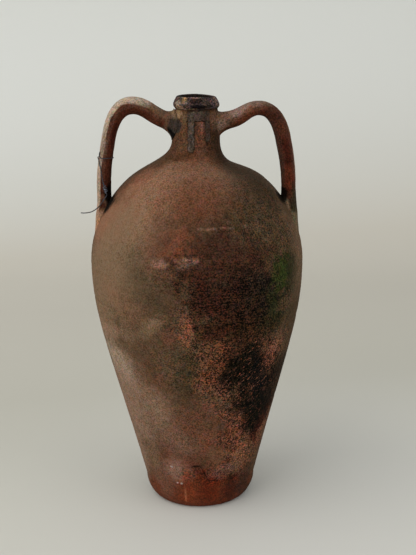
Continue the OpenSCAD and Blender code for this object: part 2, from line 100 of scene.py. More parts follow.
def smooth_way(points, steps):
    """Points on the Catmull-Rom curve through the given points, steps to each stretch."""
    p = np.concatenate([[2 * points[0] - points[1]], points, [2 * points[-1] - points[-2]]])
    t = (np.arange(steps) / steps)[None, :, None]
    a, b, c, d = (p[i:len(p) - 3 + i, None, :] for i in range(4))
    way = 0.5 * (2 * b + (c - a) * t + (2 * a - 5 * b + 4 * c - d) * t ** 2
                 + (3 * b - a - 3 * c + d) * t ** 3)
    return np.concatenate([way.reshape(-1, 3), points[-1:]])


tail_way = smooth_way(tail_points, 3)
loose_wire = wire_tube("loose_wire", tail_way, WIRE_D)
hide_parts("tie_tail")

# Foot
# The flat foot with the floor of the jar, thrown first and left on the wheel as the base
# of the rest. Its outside was rubbed clean and red, and the ground has worn its edge.
FOOT_H = 0.027
HEEL_R = 0.0823
FLOOR_T = 0.014


def bezier(a, b, c, d, steps):
    """The cubic curve that leaves a toward b and reaches d from c, as radius and height."""
    t = np.linspace(0, 1, steps)[:, None]
    a, b, c, d = map(np.asarray, (a, b, c, d))
    return (1 - t) ** 3 * a + 3 * (1 - t) ** 2 * t * b + 3 * (1 - t) * t ** 2 * c + t ** 3 * d


def even_steps(curve, step):
    """Points on a curve at even distances of about one step along it."""
    gone = np.concatenate([[0], np.cumsum(np.linalg.norm(np.diff(curve, axis=0), axis=1))])
    at = np.linspace(0, gone[-1], max(2, int(round(gone[-1] / step)) + 1))
    return np.stack([np.interp(at, gone, curve[:, 0]), np.interp(at, gone, curve[:, 1])], 1)


def smooth(value, low, high):
    """0 below low, 1 above high, and an even S between them."""
    t = np.clip((value - low) / (high - low), 0, 1)
    return t * t * (3 - 2 * t)


def waves(x, y, z, size, seed, layers=3):
    """Smooth unevenness from -1 to 1: products of sines of turned and shifted coordinates,
    each layer twice as fine and half as high as the one before."""
    rng = np.random.default_rng(seed)
    total = np.zeros(np.broadcast(x, y, z).shape)
    height = 0.0
    for k in range(layers):
        for _ in range(3):
            way = rng.normal(size=3)
            way *= 2 * math.pi / (size * np.linalg.norm(way))
            side = np.cross(way, rng.normal(size=3))
            side *= 2 * math.pi / (1.6 * size * np.linalg.norm(side))
            phase = rng.uniform(0, 6.28, 2)
            total += 0.5 ** k * np.sin(x * way[0] + y * way[1] + z * way[2] + phase[0]) \
                * np.sin(x * side[0] + y * side[1] + z * side[2] + phase[1])
            height += 0.5 ** k * 0.5
        size = size / 2
    return total / height


def foot_relief(x, y, z):
    """How far the worn foot lies inside the drawn one: slow unevenness, scuffs near the
    ground, and two flakes that came off the front under the heel."""
    turn = np.degrees(np.arctan2(x, -y))
    flakes = 0.0011 * np.exp(-((turn + 22) / 9) ** 4 - ((z - 0.021) / 0.006) ** 4)
    flakes += 0.0008 * np.exp(-((turn - 31) / 7) ** 4 - ((z - 0.015) / 0.006) ** 4)
    scuffs = 0.0009 * np.clip(waves(x, y, z, 0.025, 21), 0, 1) * np.exp(-z / 0.010)
    return 0.0002 * (1 + waves(x, y, z, 0.06, 4)) + flakes + scuffs


def settle(x, y, z):
    """Where a drawn point of the jar ended up: the skirt of the neck sagged to its right,
    and the neck leans and its rim dips that way."""
    right = x / np.maximum(np.hypot(x, y), 1e-6)
    wide = np.where(z < 0.511, 0.015, 0.018)
    sag = 0.0037 * np.exp(-((z - 0.511) / wide) ** 2)
    dip = 0.0018 * smooth(z, 0.572, 0.596)
    aside = 0.0024 * smooth(z, 0.500, 0.585)
    return x + aside, y, z - sag * right - dip * np.clip(right, 0, 1)


def grid_mesh(name, rings, closed=True):
    """A surface through rings of points. Each ring closes on itself, and the last ring
    joins the first where closed is true, otherwise both ends get a face."""
    count, sides = rings.shape[:2]
    a = np.arange(count if closed else count - 1)[:, None]
    b = np.arange(sides)[None, :]
    a2, b2 = (a + 1) % count, (b + 1) % sides
    quads = np.stack([a * sides + b, a * sides + b2, a2 * sides + b2, a2 * sides + b], -1)
    faces = quads.reshape(-1, 4).tolist()
    if not closed:
        faces.append(list(range(sides))[::-1])
        faces.append(list(range((count - 1) * sides, count * sides)))
    mesh = bpy.data.meshes.new(name)
    mesh.from_pydata(rings.reshape(-1, 3), [], faces)
    mesh.update()
    mesh.shade_smooth()
    piece = bpy.data.objects.new(name, mesh)
    bpy.context.scene.collection.objects.link(piece)
    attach(piece, "root")
    return piece


def thrown(name, outer, inner, sides, relief, closed=True):
    """A thrown ring of clay: the outer curve with the relief taken off, then the inner
    curve back to the start, turned round the axis and settled. A close second point at
    each end of the outer curve keeps its edge crisp."""
    ends = [outer[:1], outer[:1] + 0.06 * (outer[1] - outer[0]), outer[1:-1],
            outer[-1:] - 0.06 * (outer[-1] - outer[-2]), outer[-1:]]
    outer = np.concatenate(ends)
    angle = np.arange(sides) * 2 * math.pi / sides
    profile = np.concatenate([outer, inner])
    r = np.repeat(profile[:, :1], sides, axis=1)
    z = np.repeat(profile[:, 1:], sides, axis=1)
    x, y = r * np.cos(angle), r * np.sin(angle)
    taken = np.clip(relief(x, y, z), 0, None)
    taken[len(outer):] = 0
    r = r - taken
    rings = np.stack(settle(r * np.cos(angle), r * np.sin(angle), z), -1)
    return grid_mesh(name, rings, closed)


foot_outer = even_steps(bezier((0.068, 0), (0.072, 0), (HEEL_R, FOOT_H / 2), (HEEL_R, FOOT_H),
                               80), 0.0016)
floor_high = np.array([[0.0712, FOOT_H], [0.070, 0.021], [0.066, 0.0160], [0.059, FLOOR_T],
                       [0.030, FLOOR_T], [0.0005, FLOOR_T]])
foot = thrown("foot_clay", np.concatenate([[[0.0005, 0], [0.030, 0], [0.060, 0]], foot_outer]),
              floor_high, 320, foot_relief, closed=False)
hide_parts("foot")


def group(name, inputs, outputs):
    """A shader node group with named sockets, and its input and output nodes."""
    tree = bpy.data.node_groups.new(name, "ShaderNodeTree")
    for label, kind, value in inputs:
        socket = tree.interface.new_socket(label, in_out="INPUT", socket_type=kind)
        if value is not None:
            socket.default_value = value
    for label, kind in outputs:
        tree.interface.new_socket(label, in_out="OUTPUT", socket_type=kind)
    return tree, tree.nodes.new("NodeGroupInput").outputs, tree.nodes.new("NodeGroupOutput").inputs


def node(tree, kind, values=(), **settings):
    """A node with its settings, its sockets linked to other sockets or set to values."""
    made = tree.nodes.new(kind)
    for key, value in settings.items():
        setattr(made, key, value)
    for key, value in dict(values).items():
        if isinstance(value, bpy.types.NodeSocket):
            tree.links.new(value, made.inputs[key])
        else:
            made.inputs[key].default_value = value
    return made


def math_node(tree, what, a, b=0.0, c=0.0, clamp=False):
    """One arithmetic step on numbers or sockets."""
    return node(tree, "ShaderNodeMath", {0: a, 1: b, 2: c}, operation=what,
                use_clamp=clamp).outputs[0]


def noise(tree, vector, scale, detail=4.0, roughness=0.55):
    """Noise from 0 to 1 over the given coordinates."""
    return node(tree, "ShaderNodeTexNoise", {"Vector": vector, "Scale": scale,
                "Detail": detail, "Roughness": roughness}).outputs["Fac"]


def between(tree, value, low, high, start=0.0, end=1.0):
    """Start below low, end above high, and smooth between them."""
    return node(tree, "ShaderNodeMapRange", {"Value": value, "From Min": low, "From Max": high,
                "To Min": start, "To Max": end}, interpolation_type="SMOOTHSTEP").outputs[0]


def mix(tree, share, a, b, blend="MIX"):
    """Colour b over colour a by a share."""
    made = node(tree, "ShaderNodeMix", {0: share}, data_type="RGBA", blend_type=blend)
    for socket, value in ((made.inputs[6], a), (made.inputs[7], b)):
        if isinstance(value, bpy.types.NodeSocket):
            tree.links.new(value, socket)
        else:
            socket.default_value = (*value, 1.0)
    return made.outputs[2]


def grey(tree, value):
    """A number as a colour, for multiplying."""
    return node(tree, "ShaderNodeCombineColor", {0: value, 1: value, 2: value}).outputs[0]


def make_jar_place():
    """Where a point is on the jar: degrees round it from the front, height, distance from
    the axis, and two noises that break up the edges of the stains."""
    tree, given, out = group("jar_place", [("Vector", "NodeSocketVector", None)],
                             [("Angle", "NodeSocketFloat"), ("Height", "NodeSocketFloat"),
                              ("Radius", "NodeSocketFloat"), ("Broad", "NodeSocketFloat"),
                              ("Narrow", "NodeSocketFloat")])
    at = node(tree, "ShaderNodeSeparateXYZ", {0: given["Vector"]}).outputs
    turn = math_node(tree, "ARCTAN2", at["X"], math_node(tree, "MULTIPLY", at["Y"], -1.0))
    tree.links.new(math_node(tree, "MULTIPLY", turn, 180 / math.pi), out["Angle"])
    tree.links.new(at["Z"], out["Height"])
    square = math_node(tree, "MULTIPLY", at["Y"], at["Y"])
    square = math_node(tree, "MULTIPLY_ADD", at["X"], at["X"], square)
    tree.links.new(math_node(tree, "SQRT", square), out["Radius"])
    for label, scale in (("Broad", 34.0), ("Narrow", 120.0)):
        tree.links.new(math_node(tree, "SUBTRACT", noise(tree, given["Vector"], scale, 9.0, 0.68),
                                 0.5), out[label])
    return tree


def make_stain():
    """A mask for one stain: 1 inside an oval of degrees and height that leans, with an
    edge that noise breaks up."""
    tree, at, out = group("stain", [
        ("Angle", "NodeSocketFloat", 0.0), ("Height", "NodeSocketFloat", 0.0),
        ("Noise", "NodeSocketFloat", 0.0), ("At Angle", "NodeSocketFloat", 0.0),
        ("At Height", "NodeSocketFloat", 0.0), ("Half Angle", "NodeSocketFloat", 20.0),
        ("Half Height", "NodeSocketFloat", 0.05), ("Lean", "NodeSocketFloat", 0.0),
        ("Breakup", "NodeSocketFloat", 0.8), ("Softness", "NodeSocketFloat", 0.5),
    ], [("Mask", "NodeSocketFloat")])
    across = math_node(tree, "SUBTRACT", at["Angle"], at["At Angle"])
    across = math_node(tree, "DIVIDE", math_node(tree, "WRAP", across, 180.0, -180.0),
                       at["Half Angle"])
    up = math_node(tree, "DIVIDE", math_node(tree, "SUBTRACT", at["Height"], at["At Height"]),
                   at["Half Height"])
    up = math_node(tree, "MULTIPLY_ADD", across, at["Lean"], up)
    far = math_node(tree, "MULTIPLY_ADD", across, across, math_node(tree, "MULTIPLY", up, up))
    wide = math_node(tree, "MULTIPLY_ADD", math_node(tree, "MULTIPLY", at["Noise"], at["Breakup"]),
                     5.0, math_node(tree, "SQRT", far))
    low = math_node(tree, "SUBTRACT", 1.0, at["Softness"])
    high = math_node(tree, "ADD", 1.0, at["Softness"])
    tree.links.new(between(tree, wide, low, high, 1.0, 0.0), out["Mask"])
    return tree


FINE_GAIN, MID_GAIN, LEVEL_GAIN, UP_GAIN, HUE_GAIN = 16.0, 5.0, 9.0, 10.0, 6.0


def make_fired_grain():
    """The face of coarse fired clay over a colour: speckle at two sizes, which is drawn out
    along the level where the wheel wiped it and downward where the rain ran. The colour is
    multiplied by e to the power of the speckle times the grain, a little more or less in
    each primary, since strong dirt is browner than weak. Flecks of their own in the red
    and the blue make the clay redder here and greyer there."""
    tree, at, out = group("fired_grain", [
        ("Vector", "NodeSocketVector", None), ("Colour", "NodeSocketColor", (0.2, 0.1, 0.05, 1)),
        ("Grain", "NodeSocketFloat", 0.2), ("Level", "NodeSocketFloat", 0.0),
        ("Upright", "NodeSocketFloat", 0.0),
    ], [("Colour", "NodeSocketColor"), ("Height", "NodeSocketFloat")])
    where = at["Vector"]
    tone = 0.0
    for scale, detail, gain, share in (
            ((480, 480, 480), 2.0, FINE_GAIN, 1.0), ((125, 125, 125), 3.0, MID_GAIN, 1.0),
            ((110, 110, 620), 2.0, LEVEL_GAIN, at["Level"]),
            ((600, 600, 170), 2.0, UP_GAIN, at["Upright"])):
        drawn = node(tree, "ShaderNodeMapping", {"Vector": where, "Scale": scale}).outputs[0]
        speck = math_node(tree, "SUBTRACT", noise(tree, drawn, 1.0, detail, 0.6), 0.5)
        speck = math_node(tree, "MULTIPLY", speck, math_node(tree, "MULTIPLY", share, gain))
        tone = math_node(tree, "ADD", speck, tone)
    tone = math_node(tree, "MINIMUM", tone, 1.4)
    grain = at["Grain"]
    power = math_node(tree, "MULTIPLY", tone, grain)
    strong = math_node(tree, "MINIMUM", grain, 0.35)
    primaries = {}
    for channel, (start, slope, shift) in enumerate(((0.78, 0.92, 3.7), (1.07, -0.36, 0.0),
                                                     (1.38, -1.32, -2.1))):
        lift = math_node(tree, "MULTIPLY_ADD", strong, slope, start)
        change = math_node(tree, "MULTIPLY", power, lift)
        for size, gain in ((420, HUE_GAIN), (110, 0.45 * HUE_GAIN)) if shift else ():
            spot = node(tree, "ShaderNodeMapping", {"Vector": where, "Location": (shift,) * 3,
                        "Scale": (size,) * 3}).outputs[0]
            fleck = math_node(tree, "SUBTRACT", noise(tree, spot, 1.0, 2.0, 0.6), 0.5)
            fleck = math_node(tree, "MULTIPLY", fleck, math_node(tree, "MULTIPLY", strong, gain))
            change = math_node(tree, "ADD", change, fleck)
        primaries[channel] = math_node(tree, "EXPONENT", change)
    factor = node(tree, "ShaderNodeCombineColor", primaries).outputs[0]
    tree.links.new(mix(tree, 1.0, at["Colour"], factor, "MULTIPLY"), out["Colour"])
    tree.links.new(tone, out["Height"])
    return tree


def make_scratches():
    """A mask of short slanting strokes where soot was scraped off the clay: noise drawn out
    along lines that climb round the jar."""
    tree, at, out = group("scratches", [
        ("Angle", "NodeSocketFloat", 0.0), ("Height", "NodeSocketFloat", 0.0),
        ("Climb", "NodeSocketFloat", 0.9), ("Length", "NodeSocketFloat", 70.0),
    ], [("Mask", "NodeSocketFloat")])
    round_it = math_node(tree, "MULTIPLY", at["Angle"], 0.0022)
    across = math_node(tree, "MULTIPLY_ADD", round_it, math_node(tree, "MULTIPLY", at["Climb"], -1.0),
                       at["Height"])
    along = math_node(tree, "MULTIPLY_ADD", at["Height"], at["Climb"], round_it)
    spot = node(tree, "ShaderNodeCombineXYZ", {
        0: math_node(tree, "MULTIPLY", along, at["Length"]),
        1: math_node(tree, "MULTIPLY", across, 330.0), 2: 0.0}).outputs[0]
    tree.links.new(between(tree, noise(tree, spot, 1.0, 4.0, 0.65), 0.54, 0.62), out["Mask"])
    return tree


jar_place = make_jar_place()
stain_mask = make_stain()
fired_grain = make_fired_grain()
scratches = make_scratches()

# Stains on the jar: degrees from the front, height, half width in degrees, half height,
# lean, breakup of the edge, softness, colour and strength.
BRICK, LIME, KHAKI = (0.122, 0.010, 0.002), (0.387, 0.313, 0.223), (0.182, 0.114, 0.066)
PINK, SOOT, DIRT = (0.235, 0.143, 0.096), (0.001, 0.002, 0.001), (0.035, 0.025, 0.011)
ORANGE, PITCH, RED_CLAY = (0.283, 0.109, 0.060), (0.059, 0.023, 0.009), (0.125, 0.052, 0.030)
MOSS, BROWN, TAN = (0.001, 0.011, 0.001), (0.035, 0.011, 0.006), (0.265, 0.160, 0.102)
# CRUST_AND_SHADE is a dark crust in most rows, and painted shade in the two rows beside the handles'
# feet.
CRUST_AND_SHADE, BODY = (0.001, 0.002, 0.002), (0.107, 0.041, 0.020)
CHIP, BRIGHT, MOSS_LIGHT = (0.258, 0.137, 0.090), (0.152, 0.052, 0.026), (0.025, 0.034, 0.007)
# The second colour is a painted glint: near-white spots of highlight on the glossy foot.
CRACK, PAINTED_GLINT = (0.022, 0.008, 0.004), (0.460, 0.370, 0.330)
STAINS = (
    (0, 0.580, 400, 0.040, 0, 0.35, 0.6, PITCH, 0.85),
    (-19, 0.511, 61, 0.071, -0.6, 0.35, 0.8, PITCH, 0.93),
    (-5, 0.507, 34, 0.012, 0, 0.35, 0.6, ORANGE, 0.28),
    (-3, 0.490, 41, 0.017, -0.1, 0.35, 0.8, TAN, 0.64),
    (-36, 0.478, 31, 0.023, 0.2, 0.35, 0.7, ORANGE, 0.83),
    (-3, 0.473, 33, 0.028, -0.3, 0.35, 0.7, BODY, 0.82),
    (66, 0.506, 35, 0.058, -0.9, 0.5, 0.7, SOOT, 0.52),
    (32, 0.447, 15, 0.008, -0.1, 0.5, 0.5, DIRT, 0.47),
    (-55, 0.432, 27, 0.033, -0.4, 0.35, 0.4, ORANGE, 0.78),
    (-21, 0.415, 10, 0.030, 0.1, 0.35, 0.5, RED_CLAY, 0.92),
    (-9, 0.420, 4.7, 0.018, -0.4, 0.3, 0.5, ORANGE, 0.50),
    (45, 0.397, 22, 0.041, 0.2, 0.5, 0.8, DIRT, 0.56),
    (-59, 0.361, 33, 0.101, -0.8, 0.35, 0.7, KHAKI, 0.95),
    (-28, 0.360, 11, 0.025, 1.1, 0.5, 1.0, DIRT, 0.36),
    (-19, 0.393, 3.5, 0.007, -0.0, 0.3, 0.8, TAN, 0.60),
    (-7, 0.391, 2.6, 0.005, 0.1, 0.3, 0.9, PINK, 0.87),
    (-3, 0.398, 5.2, 0.007, -0.1, 0.3, 0.4, LIME, 0.27),
    (11, 0.399, 29, 0.039, 0.1, 0.5, 0.6, BROWN, 0.75),
    (57, 0.362, 11, 0.030, 0.2, 0.5, 0.5, MOSS, 0.65),
    (27, 0.300, 26, 0.024, -0.0, 0.5, 0.9, MOSS, 1.00),
    (23, 0.343, 27, 0.034, 0.1, 0.5, 0.5, CRUST_AND_SHADE, 0.89),
    (28, 0.253, 35, 0.087, 1.1, 0.5, 0.6, BROWN, 0.70),
    (-6, 0.299, 4.3, 0.023, 0.0, 0.3, 0.4, ORANGE, 0.38),
    (-15, 0.288, 3.9, 0.013, -0.1, 0.3, 0.7, RED_CLAY, 0.88),
    (-43, 0.329, 13, 0.021, 0.8, 0.35, 0.7, ORANGE, 0.16),
    (-25, 0.303, 6.6, 0.011, -1.0, 0.35, 0.9, KHAKI, 0.88),
    (-28, 0.204, 11, 0.042, 0.3, 0.35, 0.6, BODY, 0.42),
    (-59, 0.223, 13, 0.029, 0.2, 0.35, 0.6, LIME, 0.89),
    (-64, 0.278, 21, 0.010, -0.6, 0.35, 0.9, TAN, 0.60),
    (-5, 0.225, 7.9, 0.041, 0.0, 0.5, 0.4, DIRT, 0.60),
    (29, 0.237, 22, 0.036, -0.2, 0.5, 0.3, SOOT, 0.92),
    (52, 0.170, 43, 0.058, -0.8, 0.5, 0.3, SOOT, 0.98),
    (48, 0.245, 8.5, 0.021, -0.8, 0.35, 0.6, ORANGE, 0.24),
    (8, 0.251, 10, 0.038, -0.4, 0.35, 0.3, BODY, 0.55),
    (-53, 0.169, 18, 0.071, 0.1, 0.35, 0.8, PINK, 0.89),
    (-26, 0.162, 12, 0.034, 0.5, 0.35, 1.0, TAN, 0.73),
    (-10, 0.121, 24, 0.069, -0.6, 0.35, 0.4, RED_CLAY, 0.74),
    (-18, 0.058, 14, 0.029, 0.2, 0.35, 0.4, TAN, 0.94),
    (26, 0.080, 23, 0.073, 0.3, 0.35, 0.3, ORANGE, 0.33),
    (59, 0.096, 11, 0.037, -0.3, 0.35, 0.9, BRICK, 0.22),
    (-48, 0.049, 13, 0.041, -0.2, 0.35, 0.6, KHAKI, 0.73),
    (-18, 0.113, 13, 0.021, 0.5, 0.35, 1.0, PINK, 0.47),
    (21, 0.062, 13, 0.011, -0.3, 0.35, 0.8, PINK, 0.78),
    (13, 0.004, 39, 0.058, 0.7, 0.35, 0.8, BRICK, 0.93),
    (-46, 0.026, 20, 0.044, 0.0, 0.35, 0.4, RED_CLAY, 0.65),
    (58, 0.003, 52, 0.036, 1.4, 0.5, 1.0, CRUST_AND_SHADE, 0.68),
    (86, 0.266, 24, 0.123, -0.5, 0.35, 0.7, BODY, 0.22),
    (72, 0.280, 14, 0.080, 0.2, 0.8, 0.8, DIRT, 0.50),
    (80, 0.382, 18, 0.048, -0.5, 0.35, 0.4, KHAKI, 0.34),
    (10, 0.294, 9.0, 0.008, -0.8, 0.5, 0.5, BROWN, 0.65),
    (40, 0.220, 9.1, 0.031, 0.3, 0.5, 0.3, CRUST_AND_SHADE, 0.80),
    (21, 0.158, 10, 0.014, 0.2, 0.35, 0.9, RED_CLAY, 0.42),
    (-73, 0.119, 18, 0.091, -0.3, 0.35, 0.4, PINK, 0.79),
    (49, 0.366, 6.0, 0.024, 0, 0.8, 0.7, MOSS_LIGHT, 0.85),
    # The next two rows are painted shade, near black, on the shoulder in the corners beside the
    # handles' feet.
    (-80, 0.451, 7, 0.013, 0, 0.3, 0.4, CRUST_AND_SHADE, 0.95),
    (82, 0.456, 6, 0.009, 0, 0.3, 0.5, CRUST_AND_SHADE, 0.90),
    (44, 0.328, 6, 0.018, 0.4, 0.9, 0.8, MOSS_LIGHT, 0.40),
    (-8, 0.428, 6.5, 0.008, 0.2, 1.1, 0.8, BRIGHT, 0.60),
    (-12, 0.408, 7.5, 0.010, -0.3, 1.1, 0.8, BRIGHT, 0.55),
    (-19, 0.392, 3.8, 0.0045, 0, 0.9, 0.7, CHIP, 0.60),
    (-4, 0.398, 5, 0.0032, 0.1, 0.9, 0.7, CHIP, 0.65),
    (-3, 0.397, 1.6, 0.0014, 0, 0.3, 0.5, CRUST_AND_SHADE, 0.80),
    (3, 0.4372, 1.6, 0.0016, 0, 1.0, 0.7, CHIP, 0.45),
    (9, 0.4366, 2.0, 0.0014, 0, 1.0, 0.7, CHIP, 0.45),
    (15, 0.4376, 1.4, 0.0013, 0, 1.0, 0.7, CHIP, 0.35),
    (21, 0.4362, 1.8, 0.0014, 0, 1.0, 0.7, CHIP, 0.40),
    (29, 0.4368, 1.6, 0.0016, 0, 1.0, 0.7, CHIP, 0.35),
    (31, 0.318, 15, 0.038, 0, 0.6, 0.7, (0.005, 0.006, 0.003), 0.42),
    (0, 0.020, 66, 0.031, 0, 0.35, 0.3, (0.122, 0.027, 0.009), 0.92),
    (-38, 0.040, 12, 0.026, 0, 0.4, 0.6, (0.145, 0.068, 0.042), 0.65),
    (-12, 0.024, 9, 0.024, 0, 0.4, 0.6, (0.160, 0.034, 0.011), 0.80),
    (10, 0.030, 10, 0.022, 0, 0.4, 0.6, (0.098, 0.014, 0.003), 0.80),
    (33, 0.030, 10, 0.022, 0, 0.5, 0.6, (0.046, 0.010, 0.004), 0.88),
    (50, 0.030, 12, 0.024, 0, 0.5, 0.6, (0.046, 0.020, 0.012), 0.88),
    (-23, 0.069, 9, 0.015, 0, 0.6, 0.6, (0.245, 0.123, 0.085), 0.65),
    (-45, 0.070, 5, 0.008, 0, 0.5, 0.5, (0.150, 0.100, 0.056), 0.70),
    (-2.5, 0.0763, 4.2, 0.0016, 0, 0.5, 0.5, CRACK, 0.90),
    (4.6, 0.0630, 4.5, 0.0022, 7.0, 0.5, 0.5, CRACK, 0.90),
    (13, 0.0490, 5.5, 0.0016, 0, 0.5, 0.5, CRACK, 0.85),
    (31, 0.0480, 7, 0.0035, 0, 0.8, 0.6, CRACK, 0.70),
    (-15.3, 0.0250, 0.9, 0.015, 0, 0.5, 0.5, (0.310, 0.108, 0.046), 0.70),
    # The next three rows are painted glints, near white, on the rubbed foot.
    (-26.6, 0.0716, 1.4, 0.0018, 0, 0.5, 0.5, PAINTED_GLINT, 0.90),
    (-22.5, 0.0443, 1.3, 0.0016, 0, 0.5, 0.5, PAINTED_GLINT, 0.70),
    (-18.5, 0.0436, 1.4, 0.0016, 0, 0.5, 0.5, PAINTED_GLINT, 0.80),
    (180, 0.440, 46, 0.050, 0.2, 0.5, 0.7, ORANGE, 0.45),
    (140, 0.370, 26, 0.050, 0.3, 0.5, 0.6, DIRT, 0.50),
    (-138, 0.380, 26, 0.060, -0.3, 0.5, 0.6, KHAKI, 0.70),
    (172, 0.270, 34, 0.050, -0.4, 0.5, 0.7, BROWN, 0.65),
    (-150, 0.190, 34, 0.060, 0.4, 0.5, 0.7, PINK, 0.70),
    (138, 0.150, 26, 0.070, -0.3, 0.5, 0.6, SOOT, 0.50),
    (176, 0.080, 30, 0.040, 0, 0.5, 0.7, ORANGE, 0.50),
    (180, 0.015, 52, 0.020, 0, 0.4, 0.5, BRICK, 0.60),
    (-140, 0.480, 20, 0.020, 0, 0.5, 0.6, TAN, 0.50),
    (150, 0.300, 10, 0.020, 0.4, 0.5, 0.6, LIME, 0.40),
)
# How strong the grain is: degrees, height, half width, half height, lean, breakup, softness
# and strength.
GRAIN = (
    (-52, 0.430, 30, 0.045, 0, 0.5, 0.6, 0.07), (-50, 0.365, 24, 0.045, 0, 0.5, 0.6, 0.09),
    (-24, 0.420, 14, 0.035, 0, 0.5, 0.6, 0.14), (0, 0.385, 20, 0.030, 0, 0.5, 0.6, 0.34),
    (16, 0.330, 26, 0.040, 0, 0.5, 0.6, 0.60), (34, 0.340, 18, 0.045, 0, 0.5, 0.6, 0.85),
    (46, 0.425, 26, 0.050, 0, 0.5, 0.6, 0.40), (4, 0.285, 13, 0.030, 0, 0.5, 0.6, 0.55),
    (-18, 0.340, 10, 0.020, 0, 0.5, 0.6, 0.16), (-40, 0.276, 20, 0.030, 0, 0.5, 0.6, 0.17),
    (-14, 0.245, 12, 0.030, 0, 0.5, 0.6, 0.30), (14, 0.235, 16, 0.050, 0, 0.5, 0.6, 0.70),
    (38, 0.220, 22, 0.075, 0, 0.5, 0.5, 0.90), (46, 0.130, 26, 0.060, 0, 0.5, 0.6, 0.75),
    (-36, 0.130, 24, 0.050, 0, 0.5, 0.6, 0.20), (-4, 0.150, 14, 0.040, 0, 0.5, 0.6, 0.26),
    (20, 0.060, 36, 0.018, 0, 0.5, 0.6, 0.42), (50, 0.325, 8, 0.040, 0, 0.5, 0.6, 0.45),
    (-5, 0.470, 30, 0.025, 0, 0.5, 0.6, 0.20), (0, 0.594, 400, 0.011, 0, 0.4, 0.2, 0.50),
    (0, 0.550, 400, 0.026, 0, 0.5, 0.6, 0.28),
)
SCRAPED = ((36, 0.205, 18, 0.075, 0, 0.7, 0.5),)
WIPED = (15, 0.350, 26, 0.075, 0, 0.5, 0.6)
RAINED = (-52, 0.380, 26, 0.090, 0, 0.5, 0.6)
GLOSSY = ((-8, 0.020, 46, 0.030, 0, 0.35, 0.4, 0.14), (-25, 0.062, 12, 0.018, 0, 0.8, 0.5, 0.30))


def stain(tree, place, across, up, half_across, half_up, lean, breakup, soft, small=12):
    """The mask of one leaning oval in the two coordinates of a place, whose edge is broken
    up by the narrow noise when the oval is small and by the broad one when it isn't."""
    values = {"Angle": place["Angle"], "Height": place["Height"],
              "Noise": place["Broad" if half_across > small else "Narrow"], "At Angle": across,
              "At Height": up, "Half Angle": half_across, "Half Height": half_up,
              "Lean": lean, "Breakup": breakup, "Softness": soft}
    return node(tree, "ShaderNodeGroup", values, node_tree=stain_mask).outputs["Mask"]


def fired_face(tree, where, colour, grain, level=0.0, upright=0.0, bump=0.3):
    """The grain over a finished colour, and its slight relief, into the shader."""
    shader = tree.nodes["Principled BSDF"]
    face = node(tree, "ShaderNodeGroup", {"Vector": where, "Colour": colour, "Grain": grain,
                "Level": level, "Upright": upright}, node_tree=fired_grain)
    tree.links.new(face.outputs["Colour"], shader.inputs["Base Color"])
    relief = node(tree, "ShaderNodeBump", {"Height": face.outputs["Height"],
                  "Strength": bump, "Distance": 0.0003})
    tree.links.new(relief.outputs["Normal"], shader.inputs["Normal"])
    shader.inputs["Specular IOR Level"].default_value = 0.03


def clay_material(name, base, second, stains, grain=0.2, scraped=0.0, rough=0.80, glossy=()):
    """Fired clay: two clay colours mixed by slow noise, then the stains, the scraped soot
    and the grain, which ovals make stronger or weaker place by place. Glossy lists the
    ovals that were rubbed smooth."""
    material = bpy.data.materials.new(name)
    material.use_nodes = True
    tree = material.node_tree
    shader = tree.nodes["Principled BSDF"]
    where = node(tree, "ShaderNodeTexCoord").outputs["Object"]
    on_jar = node(tree, "ShaderNodeGroup", {"Vector": where}, node_tree=jar_place).outputs
    slow = between(tree, noise(tree, where, 12.0, 8.0, 0.65), 0.38, 0.62)
    colour = mix(tree, slow, base, second)
    for *oval, paint, strength in stains:
        mask = math_node(tree, "MULTIPLY", stain(tree, on_jar, *oval), strength)
        colour = mix(tree, mask, colour, paint)
    level = upright = 0.0
    if scraped:
        level, upright = stain(tree, on_jar, *WIPED), stain(tree, on_jar, *RAINED)
        marks = node(tree, "ShaderNodeGroup", {"Angle": on_jar["Angle"],
                     "Height": on_jar["Height"]}, node_tree=scratches).outputs["Mask"]
        for oval in SCRAPED:
            here = math_node(tree, "MULTIPLY", marks, stain(tree, on_jar, *oval))
            colour = mix(tree, math_node(tree, "MULTIPLY", here, scraped), colour, RED_CLAY)
        for *oval, strength in GRAIN:
            change = math_node(tree, "SUBTRACT", strength, grain)
            grain = math_node(tree, "MULTIPLY_ADD", stain(tree, on_jar, *oval), change, grain)
    # Painted shade: the inside of the neck's bore is painted near black, as deep in the mouth.
    inside = between(tree, on_jar["Radius"], 0.0262, 0.0250)
    inside = math_node(tree, "MULTIPLY", inside, between(tree, on_jar["Height"], 0.50, 0.51))
    colour = mix(tree, math_node(tree, "MULTIPLY", inside, 0.93), colour, (0.006, 0.004, 0.003))
    fired_face(tree, where, colour, grain, level, upright)
    roughness = math_node(tree, "MULTIPLY_ADD", slow, -0.12, rough)
    coat = 0.0
    for *oval, shine in glossy:
        coat = math_node(tree, "MULTIPLY_ADD", stain(tree, on_jar, *oval), shine, coat)
    tree.links.new(roughness, shader.inputs["Roughness"])
    if glossy:
        tree.links.new(coat, shader.inputs["Coat Weight"])
        shader.inputs["Coat Roughness"].default_value = 0.28
    return material


body_clay = clay_material("body_clay", (0.097, 0.056, 0.031), (0.080, 0.047, 0.024), STAINS,
                          scraped=0.6, glossy=GLOSSY)
foot.data.materials.append(body_clay)

# Walls
# The lower and the upper wall were thrown one after the other and joined under the belly.
# They are coarse brown earthenware, ringed by the fingers and weathered outdoors.
WALL_T = 0.010
SEAM_Z = 0.300
SEAT_Z = 0.5115
STEP = 0.00165
